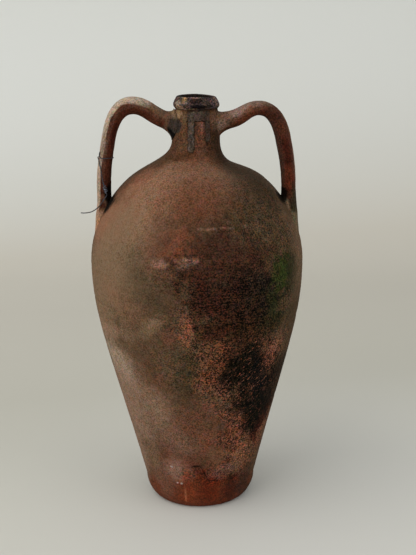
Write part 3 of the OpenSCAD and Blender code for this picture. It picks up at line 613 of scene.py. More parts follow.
# The grooves that fingers left on the wheel: height, depth, half height, and the side in
# degrees from the front where each is deepest.
FINGER_GROOVES = (
    (0.361, 0.0006, 0.0024, 5), (0.384, 0.0005, 0.0022, -20), (0.345, 0.0003, 0.003, 40),
    (0.3155, 0.0012, 0.0020, -62), (0.286, 0.0005, 0.004, 90), (0.402, 0.0004, 0.003, 0),
    (0.247, 0.0005, 0.004, 150), (0.205, 0.0004, 0.003, -100), (0.425, 0.0005, 0.002, 20),
    (0.160, 0.0005, 0.004, 60), (0.112, 0.0005, 0.003, 180), (0.071, 0.0005, 0.003, -30),
    (0.455, 0.0004, 0.003, -150), (0.478, 0.0004, 0.003, 100),
)
# Spots where the skin of the wall flaked or chipped: degrees, height, radius and depth.
CHIPS = (
    (-24, 0.3985, 0.0034, 0.0007), (-19.5, 0.3975, 0.0040, 0.0008), (-15, 0.3990, 0.0028, 0.0006),
    (-10.5, 0.3985, 0.0030, 0.0007), (-6, 0.4000, 0.0036, 0.0008), (-1.5, 0.4010, 0.0034, 0.0007),
    (5.5, 0.4375, 0.0026, 0.0006), (10.5, 0.4370, 0.0030, 0.0007), (20, 0.4365, 0.0020, 0.0005),
    (27, 0.4370, 0.0024, 0.0006), (33, 0.4375, 0.0020, 0.0006), (38, 0.4400, 0.0022, 0.0005),
    (-12, 0.0690, 0.0050, 0.0010), (-3, 0.0640, 0.0050, 0.0012), (3, 0.0560, 0.0048, 0.0012),
    (8, 0.0500, 0.0046, 0.0010), (14, 0.0490, 0.0040, 0.0009), (30, 0.0560, 0.0044, 0.0009),
    (140, 0.380, 0.006, 0.0010), (-150, 0.210, 0.007, 0.0010), (170, 0.120, 0.005, 0.0009),
)
BELLY = (0.154, 0.364)
WAIST = (0.0342, 0.540)
wall_curve = bezier((0.0815, FOOT_H), (0.1307, 0.227), (BELLY[0], 0.279), BELLY, 600)
turn_way = np.array([-math.cos(math.radians(35.5)), math.sin(math.radians(35.5))])
turn = np.array([0.0942, 0.4855])
dome_curve = bezier(BELLY, (BELLY[0], 0.428), turn - 0.019 * turn_way, turn, 300)
hollow_curve = bezier(turn, turn + 0.037 * turn_way, (WAIST[0], 0.505), WAIST, 300)
whole_curve = np.concatenate([wall_curve, dome_curve[1:], hollow_curve[1:]])


def wall_relief(x, y, z):
    """How far the fired wall lies inside the drawn one: finger grooves that wander a
    little round the jar, fine ripples, slow unevenness, and the chips."""
    angle = np.arctan2(x, -y)
    wander = 0.0010 * np.sin(angle + 0.6) + 0.0005 * np.sin(3 * angle)
    level = z + wander
    depth = np.zeros(np.broadcast(x, z).shape)
    for height, deep, half, at in FINGER_GROOVES:
        strength = 0.25 + 0.75 * np.clip(np.cos(angle - math.radians(at)), 0, 1) ** 2
        depth += deep * strength * np.exp(-((level - height) / half) ** 2)
    ripple = 0.00006 * (np.sin(level * 1150 + 2 * np.sin(angle)) + np.sin(level * 1730 + angle))
    r = np.hypot(x, y)
    for at, height, radius, deep in CHIPS:
        round_it = np.radians((np.degrees(angle) - at + 180) % 360 - 180) * r
        far = np.sqrt(round_it ** 2 + (z - height) ** 2) / radius
        ragged = 1 + 0.35 * waves(x, y, z, 0.006, 31, 1)
        depth += deep * (1 - smooth(far * ragged, 0.55, 1.0))
    uneven = 0.00012 * (1 + waves(x, y, z, 0.12, 4)) + 0.00006 * waves(x, y, z, 0.018, 5)
    return depth + ripple + uneven


def wall_between(low, high, step):
    """The part of the drawn outline from one height to another, in even steps."""
    z = whole_curve[:, 1]
    inside = whole_curve[(z > low) & (z < high)]
    ends = [[np.interp(at, z, whole_curve[:, 0]), at] for at in (low, high)]
    return even_steps(np.concatenate([ends[:1], inside, ends[1:]]), step)


def inner_face(low, high, step):
    """The outline moved in by the wall's thickness, square to it, from high to low."""
    curve = wall_between(low, high, step)
    way = np.gradient(curve, axis=0)
    way /= np.linalg.norm(way, axis=1, keepdims=True)
    inner = curve + WALL_T * np.stack([-way[:, 1], way[:, 0]], axis=1)
    inner[0, 1], inner[-1, 1] = low, high
    inner[:, 1] = np.clip(inner[:, 1], low, high)
    return inner[::-1]


lower_wall = thrown("lower_wall_clay", wall_between(FOOT_H, SEAM_Z, STEP),
                    inner_face(FOOT_H, SEAM_Z, 0.007), 432, wall_relief)
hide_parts("lower_wall")
upper_inner = inner_face(SEAM_Z, SEAT_Z - 0.004, 0.006)
upper_inner[0] = (0.0305, SEAT_Z)
upper_wall = thrown("upper_wall_clay", wall_between(SEAM_Z, SEAT_Z, STEP), upper_inner, 432,
                    wall_relief)
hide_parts("upper_wall")
for wall in (lower_wall, upper_wall):
    wall.data.materials.append(body_clay)

# Neck and collar
# The neck was thrown apart and plugged into the shoulder, and the collar is a band of clay
# laid round its top. Both are dark from pitch, soot and old lime.
COLLAR_Z = 0.582
LIP_Z = 0.600
BORE_R = 0.020
neck_top = bezier(WAIST, (WAIST[0], 0.556), (0.0315, 0.570), (0.0303, COLLAR_Z), 120)
neck_curve = np.concatenate([wall_between(SEAT_Z, WAIST[1], 0.0012), even_steps(neck_top, 0.0012)[1:]])
collar_curve = np.array([
    [0.0300, 0.5825], [0.0309, 0.5838], [0.0319, 0.5850], [0.0326, 0.5862], [0.0329, 0.5876],
    [0.0329, 0.5892], [0.0327, 0.5905], [0.0322, 0.5918], [0.0316, 0.5932], [0.0310, 0.5945],
    [0.0303, 0.5958], [0.0296, 0.5970], [0.0289, 0.5982], [0.0281, 0.5992], [0.0273, 0.5998],
    [0.0264, 0.6000]])


def neck_relief(x, y, z):
    """The neck runs on from the shoulder and gets rougher upward, with crusts and rings."""
    crust = smooth(z, 0.535, 0.560)
    uneven = 0.00012 * (1 + waves(x, y, z, 0.12, 4)) + 0.00006 * waves(x, y, z, 0.018, 5)
    rough = 0.00035 * (1 + waves(x, y, z, 0.010, 8, 4))
    return uneven * (1 - crust) + rough * crust + 0.0001 * (1 + np.sin(z * 1700)) * crust


def collar_relief(x, y, z):
    """Two worn steps round the rim, chips toward the lip, and a crevice under the front
    where the band pulled off the neck."""
    turn = np.degrees(np.arctan2(x, -y))
    steps = 0.0007 * (np.exp(-((z - 0.5925) / 0.0008) ** 2) + np.exp(-((z - 0.5962) / 0.0007) ** 2))
    steps = steps * (0.6 + 0.5 * waves(x, y, z, 0.03, 14, 2))
    chips = 0.0016 * smooth(waves(x, y, z, 0.014, 12, 2), 0.25, 0.8)
    under = 0.0022 * np.exp(-((turn - 10) / 34) ** 4) * (1 - smooth(z, 0.5846, 0.5864))
    return 0.0002 + steps + chips + under


neck_inner = np.array([[0.0235, COLLAR_Z], [0.0235, 0.5985], [BORE_R, 0.5985], [BORE_R, 0.575],
                       [BORE_R, 0.55], [BORE_R, 0.525], [BORE_R, 0.503], [0.0298, 0.503],
                       [0.0298, SEAT_Z]])
neck = thrown("neck_clay", neck_curve, neck_inner, 288, neck_relief)
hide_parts("neck")
collar = thrown("collar_clay", collar_curve, np.array([[0.0237, 0.5993], [0.0237, 0.5825]]), 288,
                collar_relief)
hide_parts("rim_collar")
# The same table as for the jar, but only for the neck and the collar.
NECK_STAINS = (
    (-34, 0.545, 28, 0.024, 0, 0.35, 0.4, (0.088, 0.044, 0.022), 0.88),
    (8, 0.541, 20, 0.024, 0, 0.35, 0.4, (0.106, 0.043, 0.024), 0.88),
    (37, 0.536, 14, 0.024, 0, 0.35, 0.5, (0.066, 0.028, 0.014), 0.85),
    (64, 0.536, 24, 0.029, 0, 0.35, 0.4, (0.029, 0.014, 0.006), 0.94),
    (90, 0.540, 50, 0.030, 0, 0.35, 0.5, (0.045, 0.022, 0.012), 0.60),
    (19, 0.560, 9, 0.007, 0, 0.4, 0.5, (0.140, 0.068, 0.043), 0.80),
    (5, 0.560, 5, 0.006, 0, 0.4, 0.5, (0.070, 0.034, 0.020), 0.70),
    (-8, 0.557, 11, 0.034, 0, 0.35, 0.25, (0.024, 0.013, 0.008), 0.60),
    (30, 0.562, 10, 0.024, 0, 0.35, 0.25, (0.028, 0.014, 0.009), 0.60),
    (58, 0.568, 18, 0.012, 0, 0.4, 0.4, (0.112, 0.060, 0.036), 0.85),
    (-30, 0.572, 10, 0.008, 0, 0.4, 0.5, (0.118, 0.070, 0.036), 0.80),
    (-54, 0.576, 17, 0.0065, 0, 0.4, 0.4, (0.215, 0.133, 0.072), 0.90),
    (-52, 0.5605, 18, 0.0098, 0, 0.3, 0.2, (0.034, 0.025, 0.020), 0.95),
    (5, 0.5755, 14, 0.004, 0, 0.4, 0.4, (0.032, 0.018, 0.012), 0.80),
    (0, 0.593, 400, 0.011, 0, 0.2, 0.15, (0.046, 0.031, 0.026), 0.97),
    (0, 0.6012, 400, 0.0022, 0, 0.5, 0.5, (0.110, 0.098, 0.084), 0.80),
    (-51, 0.592, 13, 0.0042, 0, 0.5, 0.4, (0.185, 0.138, 0.104), 0.85),
    (-48, 0.586, 14, 0.0035, 0, 0.5, 0.4, (0.212, 0.130, 0.075), 0.90),
    (-29, 0.5975, 9, 0.0050, 0, 0.4, 0.4, (0.215, 0.135, 0.068), 0.92),
    (-27, 0.5925, 9, 0.0022, 0, 0.4, 0.5, (0.140, 0.100, 0.074), 0.80),
    (-24, 0.5880, 9, 0.0016, 0, 0.4, 0.5, (0.074, 0.042, 0.025), 0.80),
    (6, 0.5950, 20, 0.0040, 0, 0.6, 0.4, (0.018, 0.010, 0.007), 0.92),
    (24, 0.5925, 8, 0.0013, 0, 0.7, 0.6, (0.062, 0.036, 0.026), 0.80),
    (40, 0.5930, 8, 0.0016, 0, 0.5, 0.5, (0.082, 0.046, 0.033), 0.75),
    (64, 0.5940, 14, 0.0050, 0, 0.5, 0.5, (0.105, 0.076, 0.058), 0.80),
    (74, 0.5870, 18, 0.0040, 0, 0.5, 0.5, (0.088, 0.062, 0.050), 0.80),
    (5, 0.5990, 11, 0.0010, 0, 0.5, 0.5, (0.118, 0.080, 0.068), 0.80),
    # The next two rows are painted shade: the dark line in the crevice under the front of the collar.
    (8, 0.5872, 24, 0.0026, 0, 0.9, 0.3, (0.004, 0.003, 0.003), 0.97),
    (38, 0.5876, 14, 0.0016, 0, 0.5, 0.4, (0.022, 0.015, 0.012), 0.90),
    (-14, 0.5838, 22, 0.0012, 0, 0.4, 0.4, (0.150, 0.088, 0.056), 0.80),
)
neck_face = clay_material("neck_face", (0.098, 0.050, 0.028), (0.080, 0.042, 0.023),
                          STAINS[:8] + NECK_STAINS, scraped=0.01)
for ring in (neck, collar):
    ring.data.materials.append(neck_face)

# Handles
# Each handle is a thick strap of clay pulled by hand, with a ridge along its front and its
# back. Weather has bleached the outer side of the left one, and rain kept the rest red.
HANDLE_DEPTH = 0.029
PULL = 0.38
# Root, slope there in degrees, crown, hip, lean there in degrees, foot, and the thickness at
# these four places.
HANDLES = {
    -1: ((0.0465, 0.5683), 23.0, (0.0880, 0.5873), (0.1230, 0.5407), 11.5, (0.1320, 0.4639),
         (0.0251, 0.0254, 0.0206, 0.0212)),
    1: ((0.0524, 0.5663), 13.7, (0.0904, 0.5814), (0.1238, 0.5435), 12.4, (0.1330, 0.4671),
        (0.0251, 0.0210, 0.0229, 0.0215)),
}


def handle_way(side, u):
    """The middle line of a handle and its direction, u from 0 at the root to 3 at the foot.
    Between two places it is a cubic curve that leaves and arrives along their slopes."""
    root, slope, crown, hip, lean, foot, _ = HANDLES[side]
    spots = np.array([root, crown, hip, foot])
    slope, lean = math.radians(slope), math.radians(lean)
    ways = np.array([[math.cos(slope), math.sin(slope)], [1.0, 0.0],
                     [math.sin(lean), -math.cos(lean)], [0.0, -1.0]])
    k = np.clip(u.astype(int), 0, 2)
    t = (u - k)[:, None]
    a, d = spots[k], spots[k + 1]
    pull = PULL * np.linalg.norm(d - a, axis=1, keepdims=True)
    b, c = a + pull * ways[k], d - pull * ways[k + 1]
    spot = (1 - t) ** 3 * a + 3 * (1 - t) ** 2 * t * b + 3 * (1 - t) * t ** 2 * c + t ** 3 * d
    way = 3 * (1 - t) ** 2 * (b - a) + 6 * (1 - t) * t * (c - b) + 3 * t ** 2 * (d - c)
    return spot, way / np.linalg.norm(way, axis=1, keepdims=True)


def half_thick(side, u):
    """Half the strap's thickness at u, easing from one place to the next."""
    thick = np.array(HANDLES[side][6]) / 2
    k = np.clip(u.astype(int), 0, 2)
    share = smooth(u - k, 0, 1)
    return thick[k] * (1 - share) + thick[k + 1] * share


def strap_section(sides, ridge=1.5):
    """The section of the strap, 1 across and 1 deep: a rounded diamond whose front and back
    ridges lie nearer its outer side. The first number points out, the second to the back."""
    a = np.arange(sides) * 2 * math.pi / sides
    out = np.sign(np.cos(a)) * np.abs(np.cos(a)) ** (2 / ridge)
    back = np.sign(np.sin(a)) * np.abs(np.sin(a)) ** (2 / ridge)
    return out + 0.30 * (1 - out ** 2) * np.abs(back), back


def strap_rings(side, spot, up, half_t, half_d, section):
    """Rings of points round a line in the plane of the handles. Up is the direction of the
    section's outer side, and the left handle is the mirror image."""
    out, back = section
    x = spot[:, :1] + half_t[:, None] * out * up[:, :1]
    z = spot[:, 1:] + half_t[:, None] * out * up[:, 1:]
    y = half_d[:, None] * back[None, :]
    rings = np.stack([side * x, y + 0 * x, z], -1)
    return rings if side < 0 else rings[:, ::-1]


def pulled_relief(rings, centre):
    """The rings drawn in toward their middle line by uneven pulling and scraping."""
    x, y, z = rings[..., 0], rings[..., 1], rings[..., 2]
    inward = 0.00015 * (1 + waves(x, y, z, 0.05, 41)) + 0.00014 * (1 + waves(x, y, z, 0.009, 42))
    toward = centre[:, None] - rings
    return rings + toward / np.linalg.norm(toward, axis=2, keepdims=True) * inward[..., None]


def handle_material(name, base, stains, grain):
    """Handle clay: a base colour and stains laid out along the handle, which the points know
    from two marks: outer runs from -1 on the inner side of the strap to 1 on the outer, and
    along from -1 at the neck over 0 at the root and 3 at the foot to 4 at the pad's tip."""
    material = bpy.data.materials.new(name)
    material.use_nodes = True
    tree = material.node_tree
    where = node(tree, "ShaderNodeTexCoord").outputs["Object"]
    place = {label: node(tree, "ShaderNodeAttribute", attribute_name=mark).outputs["Fac"]
             for label, mark in (("Angle", "outer"), ("Height", "along"))}
    for label, scale in (("Broad", 60.0), ("Narrow", 150.0)):
        place[label] = math_node(tree, "SUBTRACT", noise(tree, where, scale, 7.0, 0.65), 0.5)
    colour = base
    for *oval, paint, strength in stains:
        mask = math_node(tree, "MULTIPLY", stain(tree, place, *oval, small=0.4), strength)
        colour = mix(tree, mask, colour, paint)
    fired_face(tree, where, colour, grain)
    tree.nodes["Principled BSDF"].inputs["Roughness"].default_value = 0.7
    return material


def mark_strap(piece, out, along):
    """Marks each point with how far out on the strap it lies and how far along the handle."""
    for label, values in (("outer", np.tile(out, len(along))),
                          ("along", np.repeat(along, len(out)))):
        mark = piece.data.attributes.new(label, "FLOAT", "POINT")
        mark.data.foreach_set("value", values.astype(np.float32))


# Stains on the handles: outer and along, half widths of both, lean, breakup, softness,
# colour and strength.
# The second colour is painted shade: near black in the corner where each handle's foot meets the
# shoulder.
BLEACHED, CROTCH_SHADE = (0.335, 0.248, 0.178), (0.005, 0.003, 0.002)
LEFT_STAINS = (
    # Painted highlight: a lighter red-brown band along the strap's front ridge.
    (0.02, 1.60, 0.22, 2.00, 0, 0.4, 0.5, (0.110, 0.045, 0.028), 0.80),
    (-0.62, 1.85, 0.24, 0.24, 0, 0.4, 0.5, (0.024, 0.003, 0.002), 0.60),
    (-0.95, 2.60, 0.30, 0.45, 0, 0.4, 0.5, (0.030, 0.011, 0.006), 0.60),
    (-0.30, 0.10, 0.80, 0.22, 0, 0.4, 0.5, (0.095, 0.034, 0.018), 0.70),
    (1.10, 1.95, 0.78, 2.00, 0, 0.12, 0.12, BLEACHED, 0.93),
    (0.72, 0.90, 0.50, 0.42, 0, 0.30, 0.3, BLEACHED, 0.85),
    (1.25, 1.40, 0.55, 0.80, 0, 0.30, 0.5, (0.390, 0.300, 0.220), 0.70),
    (0.48, 2.15, 0.40, 0.26, 0, 0.4, 0.6, (0.170, 0.112, 0.078), 0.75),
    (0.75, 0.05, 0.70, 0.58, 0, 0.4, 0.4, (0.112, 0.063, 0.034), 0.90),
    (0.00, -0.52, 3.00, 0.40, 0, 0.4, 0.3, (0.115, 0.060, 0.034), 0.90),
    (0.00, -0.88, 0.85, 0.55, 0, 0.3, 0.25, (0.034, 0.025, 0.020), 0.94),
    (1.05, -0.85, 0.42, 0.32, 0, 0.4, 0.4, (0.175, 0.107, 0.056), 0.85),
    # Painted shadow, near black, under the left lug where it meets the neck.
    (-0.42, -0.88, 0.34, 0.42, 0, 0.3, 0.3, (0.002, 0.002, 0.002), 0.97),
    (0.00, 3.80, 3.00, 0.58, 0, 0.4, 0.3, (0.340, 0.184, 0.106), 0.95),
    # Painted shade in the corner under the handle's foot.
    (-0.80, 3.04, 0.56, 0.20, 0, 0.3, 0.3, CROTCH_SHADE, 0.97),
)
RIGHT_STAINS = (
    (-0.85, 2.30, 0.42, 1.00, 0, 0.5, 0.5, (0.052, 0.024, 0.015), 0.82),
    (0.20, 0.42, 0.60, 0.66, 0, 0.4, 0.5, (0.170, 0.080, 0.051), 0.85),
    (0.85, 0.40, 0.50, 0.66, 0, 0.4, 0.4, (0.226, 0.138, 0.102), 0.88),
    (-0.55, 0.45, 0.40, 0.66, 0, 0.4, 0.5, (0.118, 0.034, 0.014), 0.80),
    # Painted highlight along the outer rim at the crown.
    (0.95, 1.05, 0.40, 0.28, 0, 0.4, 0.5, (0.130, 0.085, 0.058), 0.70),
    (0.35, 1.42, 0.50, 0.28, 0, 0.4, 0.5, (0.046, 0.018, 0.010), 0.80),
    (0.10, 1.82, 0.62, 0.18, 0, 0.5, 0.5, (0.084, 0.026, 0.013), 0.70),
    (0.12, 2.28, 0.46, 0.28, 0, 0.5, 0.5, (0.038, 0.008, 0.004), 0.88),
    (0.12, 2.82, 0.64, 0.20, 0, 0.5, 0.5, (0.095, 0.021, 0.009), 0.88),
    (0.75, 3.04, 0.50, 0.14, 0, 0.4, 0.5, (0.042, 0.015, 0.007), 0.85),
    # Painted highlight along the outer rim.
    (1.05, 1.80, 0.20, 0.40, 0, 0.4, 0.5, (0.140, 0.074, 0.040), 0.70),
    (1.10, 2.60, 0.24, 0.40, 0, 0.4, 0.5, (0.240, 0.170, 0.125), 0.70),
    (0.00, -0.50, 3.00, 0.44, 0, 0.4, 0.3, (0.128, 0.073, 0.045), 0.90),
    (-0.78, -0.40, 0.36, 0.55, 0, 0.4, 0.4, (0.060, 0.022, 0.010), 0.85),
    (0.05, -0.45, 0.48, 0.26, 0, 0.6, 0.6, (0.200, 0.125, 0.088), 0.75),
    (0.00, -1.02, 3.00, 0.22, 0, 0.4, 0.4, (0.080, 0.040, 0.020), 0.85),
    (-0.45, -1.00, 0.60, 0.24, 0, 0.4, 0.4, (0.034, 0.014, 0.006), 0.80),
    (0.00, 3.65, 3.00, 0.42, 0, 0.4, 0.3, (0.120, 0.088, 0.050), 0.90),
    (0.65, 3.20, 0.62, 0.20, 0, 0.4, 0.4, (0.024, 0.018, 0.008), 0.90),
    (-0.50, 3.33, 0.42, 0.18, 0, 0.4, 0.5, (0.270, 0.185, 0.110), 0.85),
    # Painted shade in the corner under the handle's foot.
    (-0.75, 3.09, 0.58, 0.12, 0, 0.3, 0.3, CROTCH_SHADE, 0.97),
)
left_clay = handle_material("left_handle_clay", (0.071, 0.020, 0.010), LEFT_STAINS, 0.22)
right_clay = handle_material("right_handle_clay", (0.063, 0.020, 0.011), RIGHT_STAINS, 0.26)
section = strap_section(64)
for side, label, finish in ((-1, "left", left_clay), (1, "right", right_clay)):
    u = np.linspace(0, 3, 181)
    u[0], u[-1] = 0, 3
    spot, way = handle_way(side, u)
    up = np.stack([-way[:, 1], way[:, 0]], 1)
    rings = strap_rings(side, spot, up, half_thick(side, u), np.full(len(u), HANDLE_DEPTH / 2),
                        section)
    centre = np.stack([side * spot[:, 0], 0 * u, spot[:, 1]], 1)
    handle = grid_mesh(label + "_strap", pulled_relief(rings, centre), closed=False)
    mark_strap(handle, section[0] if side < 0 else section[0][::-1], u)
    handle.data.materials.append(finish)
    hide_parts(label + "_handle")

# Lugs
# Lumps of wet clay worked round the roots of the handles, which flare onto the neck all
# round and end inside its wall.
LUG_Z = 0.560
LUG_HALF_H = 0.0225
LUG_HALF_W = 0.0215


def neck_surface(y, z):
    """How far out the drawn neck is at a depth and a height, level with the handles."""
    r = np.interp(z, neck_curve[:, 1], neck_curve[:, 0]) - 0.0004
    return np.sqrt(r ** 2 - y ** 2)


for side, label in ((-1, "left"), (1, "right")):
    root, slope = HANDLES[side][:2]
    slope = math.radians(slope)
    start = strap_rings(1, np.array([root]), np.array([[-math.sin(slope), math.cos(slope)]]),
                        half_thick(side, np.zeros(1)), np.full(1, HANDLE_DEPTH / 2), section)[0]
    start = start[::-1]
    angle = np.arange(len(start)) * 2 * math.pi / len(start)
    end_y, end_z = LUG_HALF_W * np.sin(angle), LUG_Z + LUG_HALF_H * np.cos(angle)
    end_x = neck_surface(end_y, end_z)
    end = np.stack([end_x, end_y, end_z], 1)
    far = np.linalg.norm(end - start, axis=1, keepdims=True)
    leave = start - 0.37 * far * np.array([math.cos(slope), 0, math.sin(slope)])
    spread = np.stack([-end_y / end_x * np.sin(angle), np.sin(angle), np.cos(angle)], 1)
    arrive = end - 0.33 * far * spread
    t = np.linspace(0, 1, 28)[:, None, None]
    rings = (1 - t) ** 3 * start + 3 * (1 - t) ** 2 * t * leave \
        + 3 * (1 - t) * t ** 2 * arrive + t ** 3 * end
    inner = np.stack([0.88 * end_x, 0.9 * end_y, 0.1 * LUG_Z + 0.9 * end_z], 1)
    rings = np.concatenate([rings, inner[None]])
    rings = rings * (side, 1, 1)
    rings = rings if side > 0 else rings[:, ::-1]
    centre = np.zeros((len(rings), 3))
    centre[:, 0] = side * np.linspace(root[0], 0.030, len(rings))
    centre[:, 2] = np.linspace(root[1], LUG_Z, len(rings))
    lug = grid_mesh(label + "_lug_clay", pulled_relief(rings, centre), closed=False)
    out = section[0][::-1]
    mark_strap(lug, out if side > 0 else out[::-1], np.append(-t[:, 0, 0], -1.0))
    lug.data.materials.append(left_clay if side < 0 else right_clay)
    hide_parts(label + "_neck_lug")

# Foot pads
# The clay smeared out where each handle stands on the shoulder. It runs down the wall and
# thins out on the belly until it can't be told from it.
# Height and outermost reach of the pad, from the handle's foot down into the wall.
PAD_EDGES = {
    -1: ((0.4639, 0.1426), (0.4548, 0.1427), (0.4460, 0.1431), (0.4342, 0.1450),
         (0.4284, 0.1461), (0.4165, 0.1468), (0.4106, 0.1474), (0.4047, 0.1481),
         (0.3987, 0.1492), (0.3900, 0.1505), (0.3820, 0.1500)),
    1: ((0.4671, 0.14375), (0.4511, 0.1448), (0.4423, 0.1456), (0.4305, 0.1470),
        (0.4186, 0.1474), (0.4127, 0.1482), (0.4067, 0.1485), (0.4008, 0.1492),
        (0.3948, 0.1502), (0.3870, 0.1508), (0.3800, 0.1500)),
}
for side, label in ((-1, "left"), (1, "right")):
    edge = np.array(PAD_EDGES[side])
    foot_x, foot_z = HANDLES[side][5]
    top_t = HANDLES[side][6][3] / 2
    z = np.linspace(foot_z, edge[-1, 0], 60)
    s = (foot_z - z) / (foot_z - edge[-1, 0])
    out_x = np.interp(-z, -edge[:, 0], edge[:, 1])
    out_x[1:-1] = (out_x[:-2] + out_x[1:-1] + out_x[2:]) / 3
    wall_r = np.interp(z, whole_curve[:, 1], whole_curve[:, 0])
    in_x = np.minimum(foot_x - top_t, wall_r - 0.006)
    in_x = np.maximum(in_x, foot_x - top_t - 0.004 * smooth(s, 0.05, 0.4))
    spot = np.stack([(out_x + in_x) / 2, z], 1)
    up = np.stack([np.ones(60), np.zeros(60)], 1)
    half_d = HANDLE_DEPTH / 2 + 0.0125 * smooth(s, 0.05, 0.75)
    soft = smooth(s, 0, 0.6)[:, None]
    round_section = strap_section(64, 1.8)
    out = section[0] * (1 - soft) + round_section[0] * soft
    back = section[1] * (1 - soft) + round_section[1] * soft
    half_t = (out_x - in_x) / 2
    rings = np.stack([side * (spot[:, :1] + half_t[:, None] * out), half_d[:, None] * back,
                      np.repeat(z[:, None], 64, 1)], -1)
    rings = rings if side < 0 else rings[:, ::-1]
    centre = np.stack([side * spot[:, 0], 0 * s, z], 1)
    pad = grid_mesh(label + "_pad_clay", pulled_relief(rings, centre), closed=False)
    mark_strap(pad, section[0] if side < 0 else section[0][::-1], 3 + s)
    pad.data.materials.append(left_clay if side < 0 else right_clay)
    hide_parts(label + "_foot_pad")

# Sealing mortar
# Hard grey lime mortar that ran down the front of the neck when the mouth was sealed.
MORTAR_T = 0.0018


def mortar_depth(x, z):
    """How thick the mortar is at a distance round the neck and a height: a ragged band
    under the collar with a long and a short run below it, rounded toward their edges."""
    edge = 0.0009 * waves(x, 0, z, 0.006, 61, 2)
    band = np.minimum(np.minimum(x + 0.0145, 0.0215 - x), np.minimum(z - 0.5665, 0.5815 - z))
    middle = -0.0072 + 0.0012 * smooth(0.560 - z, 0, 0.03)
    long_run = np.minimum(0.0052 - np.abs(x - middle), z - 0.5235)
    long_run = np.minimum(long_run, 0.0062 - np.hypot(x - middle, np.minimum(z - 0.5297, 0)))
    short_run = np.minimum(0.0040 - np.abs(x - 0.0170), z - 0.5385)
    long_run = np.where(z > 0.575, band, long_run)
    short_run = np.where(z > 0.575, band, short_run)
    inside = np.maximum(band, np.maximum(long_run, short_run)) + edge
    return MORTAR_T * smooth(inside, -0.0004, 0.0022) - 0.0011 * smooth(-inside, -0.0002, 0.0016)


around = np.linspace(-0.0185, 0.0250, 96)
level = np.linspace(0.5205, 0.5818, 134)
round_it, up_it = np.meshgrid(around, level)
neck_r = np.interp(level, neck_curve[:, 1], neck_curve[:, 0])[:, None] - 0.0007
lumps = 1 + 0.22 * waves(round_it, 0, up_it, 0.005, 62, 3)
skins = []
for r in (neck_r + mortar_depth(round_it, up_it) * lumps, neck_r - 0.004 + 0 * round_it):
    angle = around[None, :] / 0.033
    skins.append(np.stack(settle(r * np.sin(angle), -r * np.cos(angle), up_it), -1))
front, back = skins
slab = np.concatenate([front, back[:, ::-1]], 1)
mortar = grid_mesh("mortar_runs", slab, closed=False)
thick = np.concatenate([mortar_depth(round_it, up_it) / MORTAR_T, 0 * round_it], 1)
mark = mortar.data.attributes.new("thick", "FLOAT", "POINT")
mark.data.foreach_set("value", thick.astype(np.float32).ravel())
# The thin rim of the mortar is painted dark as shade along its edges, and its thick middle is a dirty
# grey.
mortar_finish = bpy.data.materials.new("mortar_finish")
mortar_finish.use_nodes = True
tree = mortar_finish.node_tree
where = node(tree, "ShaderNodeTexCoord").outputs["Object"]
dirt = between(tree, noise(tree, where, 90.0, 4.0, 0.6), 0.38, 0.62)
colour = mix(tree, dirt, (0.086, 0.062, 0.046), (0.046, 0.031, 0.022))
depth = node(tree, "ShaderNodeAttribute", attribute_name="thick").outputs["Fac"]
# Painted shade: the mortar darkens where it is thin, along its edges.
colour = mix(tree, between(tree, depth, 0.90, 0.35), colour, (0.022, 0.012, 0.007))
at = node(tree, "ShaderNodeSeparateXYZ", {0: where}).outputs
colour = mix(tree, between(tree, at["X"], 0.003, 0.013, 0.0, 0.75), colour, (0.033, 0.020, 0.013))
fired_face(tree, where, colour, 0.26)
mortar.data.materials.append(mortar_finish)
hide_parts("neck_mortar")

# Tie wire
# Thin iron wire, rusted, wound once round the left handle and knotted on itself. The knot is painted
# pale bluish grey as a painted highlight.


def wire_material(name, bare, rusted):
    """Dull iron with patches of rust."""
    material = bpy.data.materials.new(name)
    material.use_nodes = True
    tree = material.node_tree
    shader = tree.nodes["Principled BSDF"]
    place = node(tree, "ShaderNodeTexCoord").outputs["Object"]
    rust = between(tree, noise(tree, place, 260.0, 4.0, 0.6), 0.48, 0.60)
    colour = mix(tree, rust, bare, rusted)
    tree.links.new(colour, shader.inputs["Base Color"])
    tree.links.new(math_node(tree, "MULTIPLY_ADD", rust, 0.35, 0.38), shader.inputs["Roughness"])
    tree.links.new(math_node(tree, "MULTIPLY_ADD", rust, -0.7, 0.9), shader.inputs["Metallic"])
    return material


# The turn and the run of the wire: place along the strap, degrees round it, and gap.
WIRE_WAY = (
    (2.235, -42, 0.0004), (2.275, -34, 0.0001), (2.318, -38, 0), (2.334, -55, 0),
    (2.338, -78, 0), (2.332, -105, 0), (2.326, -135, 0), (2.322, -180, 0), (2.322, -225, 0),
    (2.330, -270, 0), (2.345, -315, 0), (2.352, -345, 0), (2.362, -372, 0.0004),
    (2.372, -393, 0.0006), (2.420, -408, 0.0002), (2.500, -428, 0), (2.600, -450, 0),
    (2.700, -462, 0.0002), (2.790, -470, 0.0012), (2.850, -476, 0.0030), (2.900, -480, 0.0034),
    (2.940, -483.6, 0.0031), (2.985, -487.3, 0.00277),
)


def on_strap(u, angle, lift):
    """A point over the left strap, at degrees round its section and off it by a lift."""
    spot, way = handle_way(-1, u)
    cosine, sine = np.cos(np.radians(angle)), np.sin(np.radians(angle))
    out = np.sign(cosine) * np.abs(cosine) ** (2 / 1.5)
    back = np.sign(sine) * np.abs(sine) ** (2 / 1.5)
    out = (out + 0.30 * (1 - out ** 2) * np.abs(back)) * half_thick(-1, u)
    back = back * HANDLE_DEPTH / 2
    grow = 1 + lift / np.hypot(out, back)
    out, back = out * grow, back * grow
    return np.stack([-(spot[:, 0] - way[:, 1] * out), back, spot[:, 1] + way[:, 0] * out], 1)


iron = wire_material("iron_wire", (0.060, 0.064, 0.076), (0.045, 0.024, 0.014))
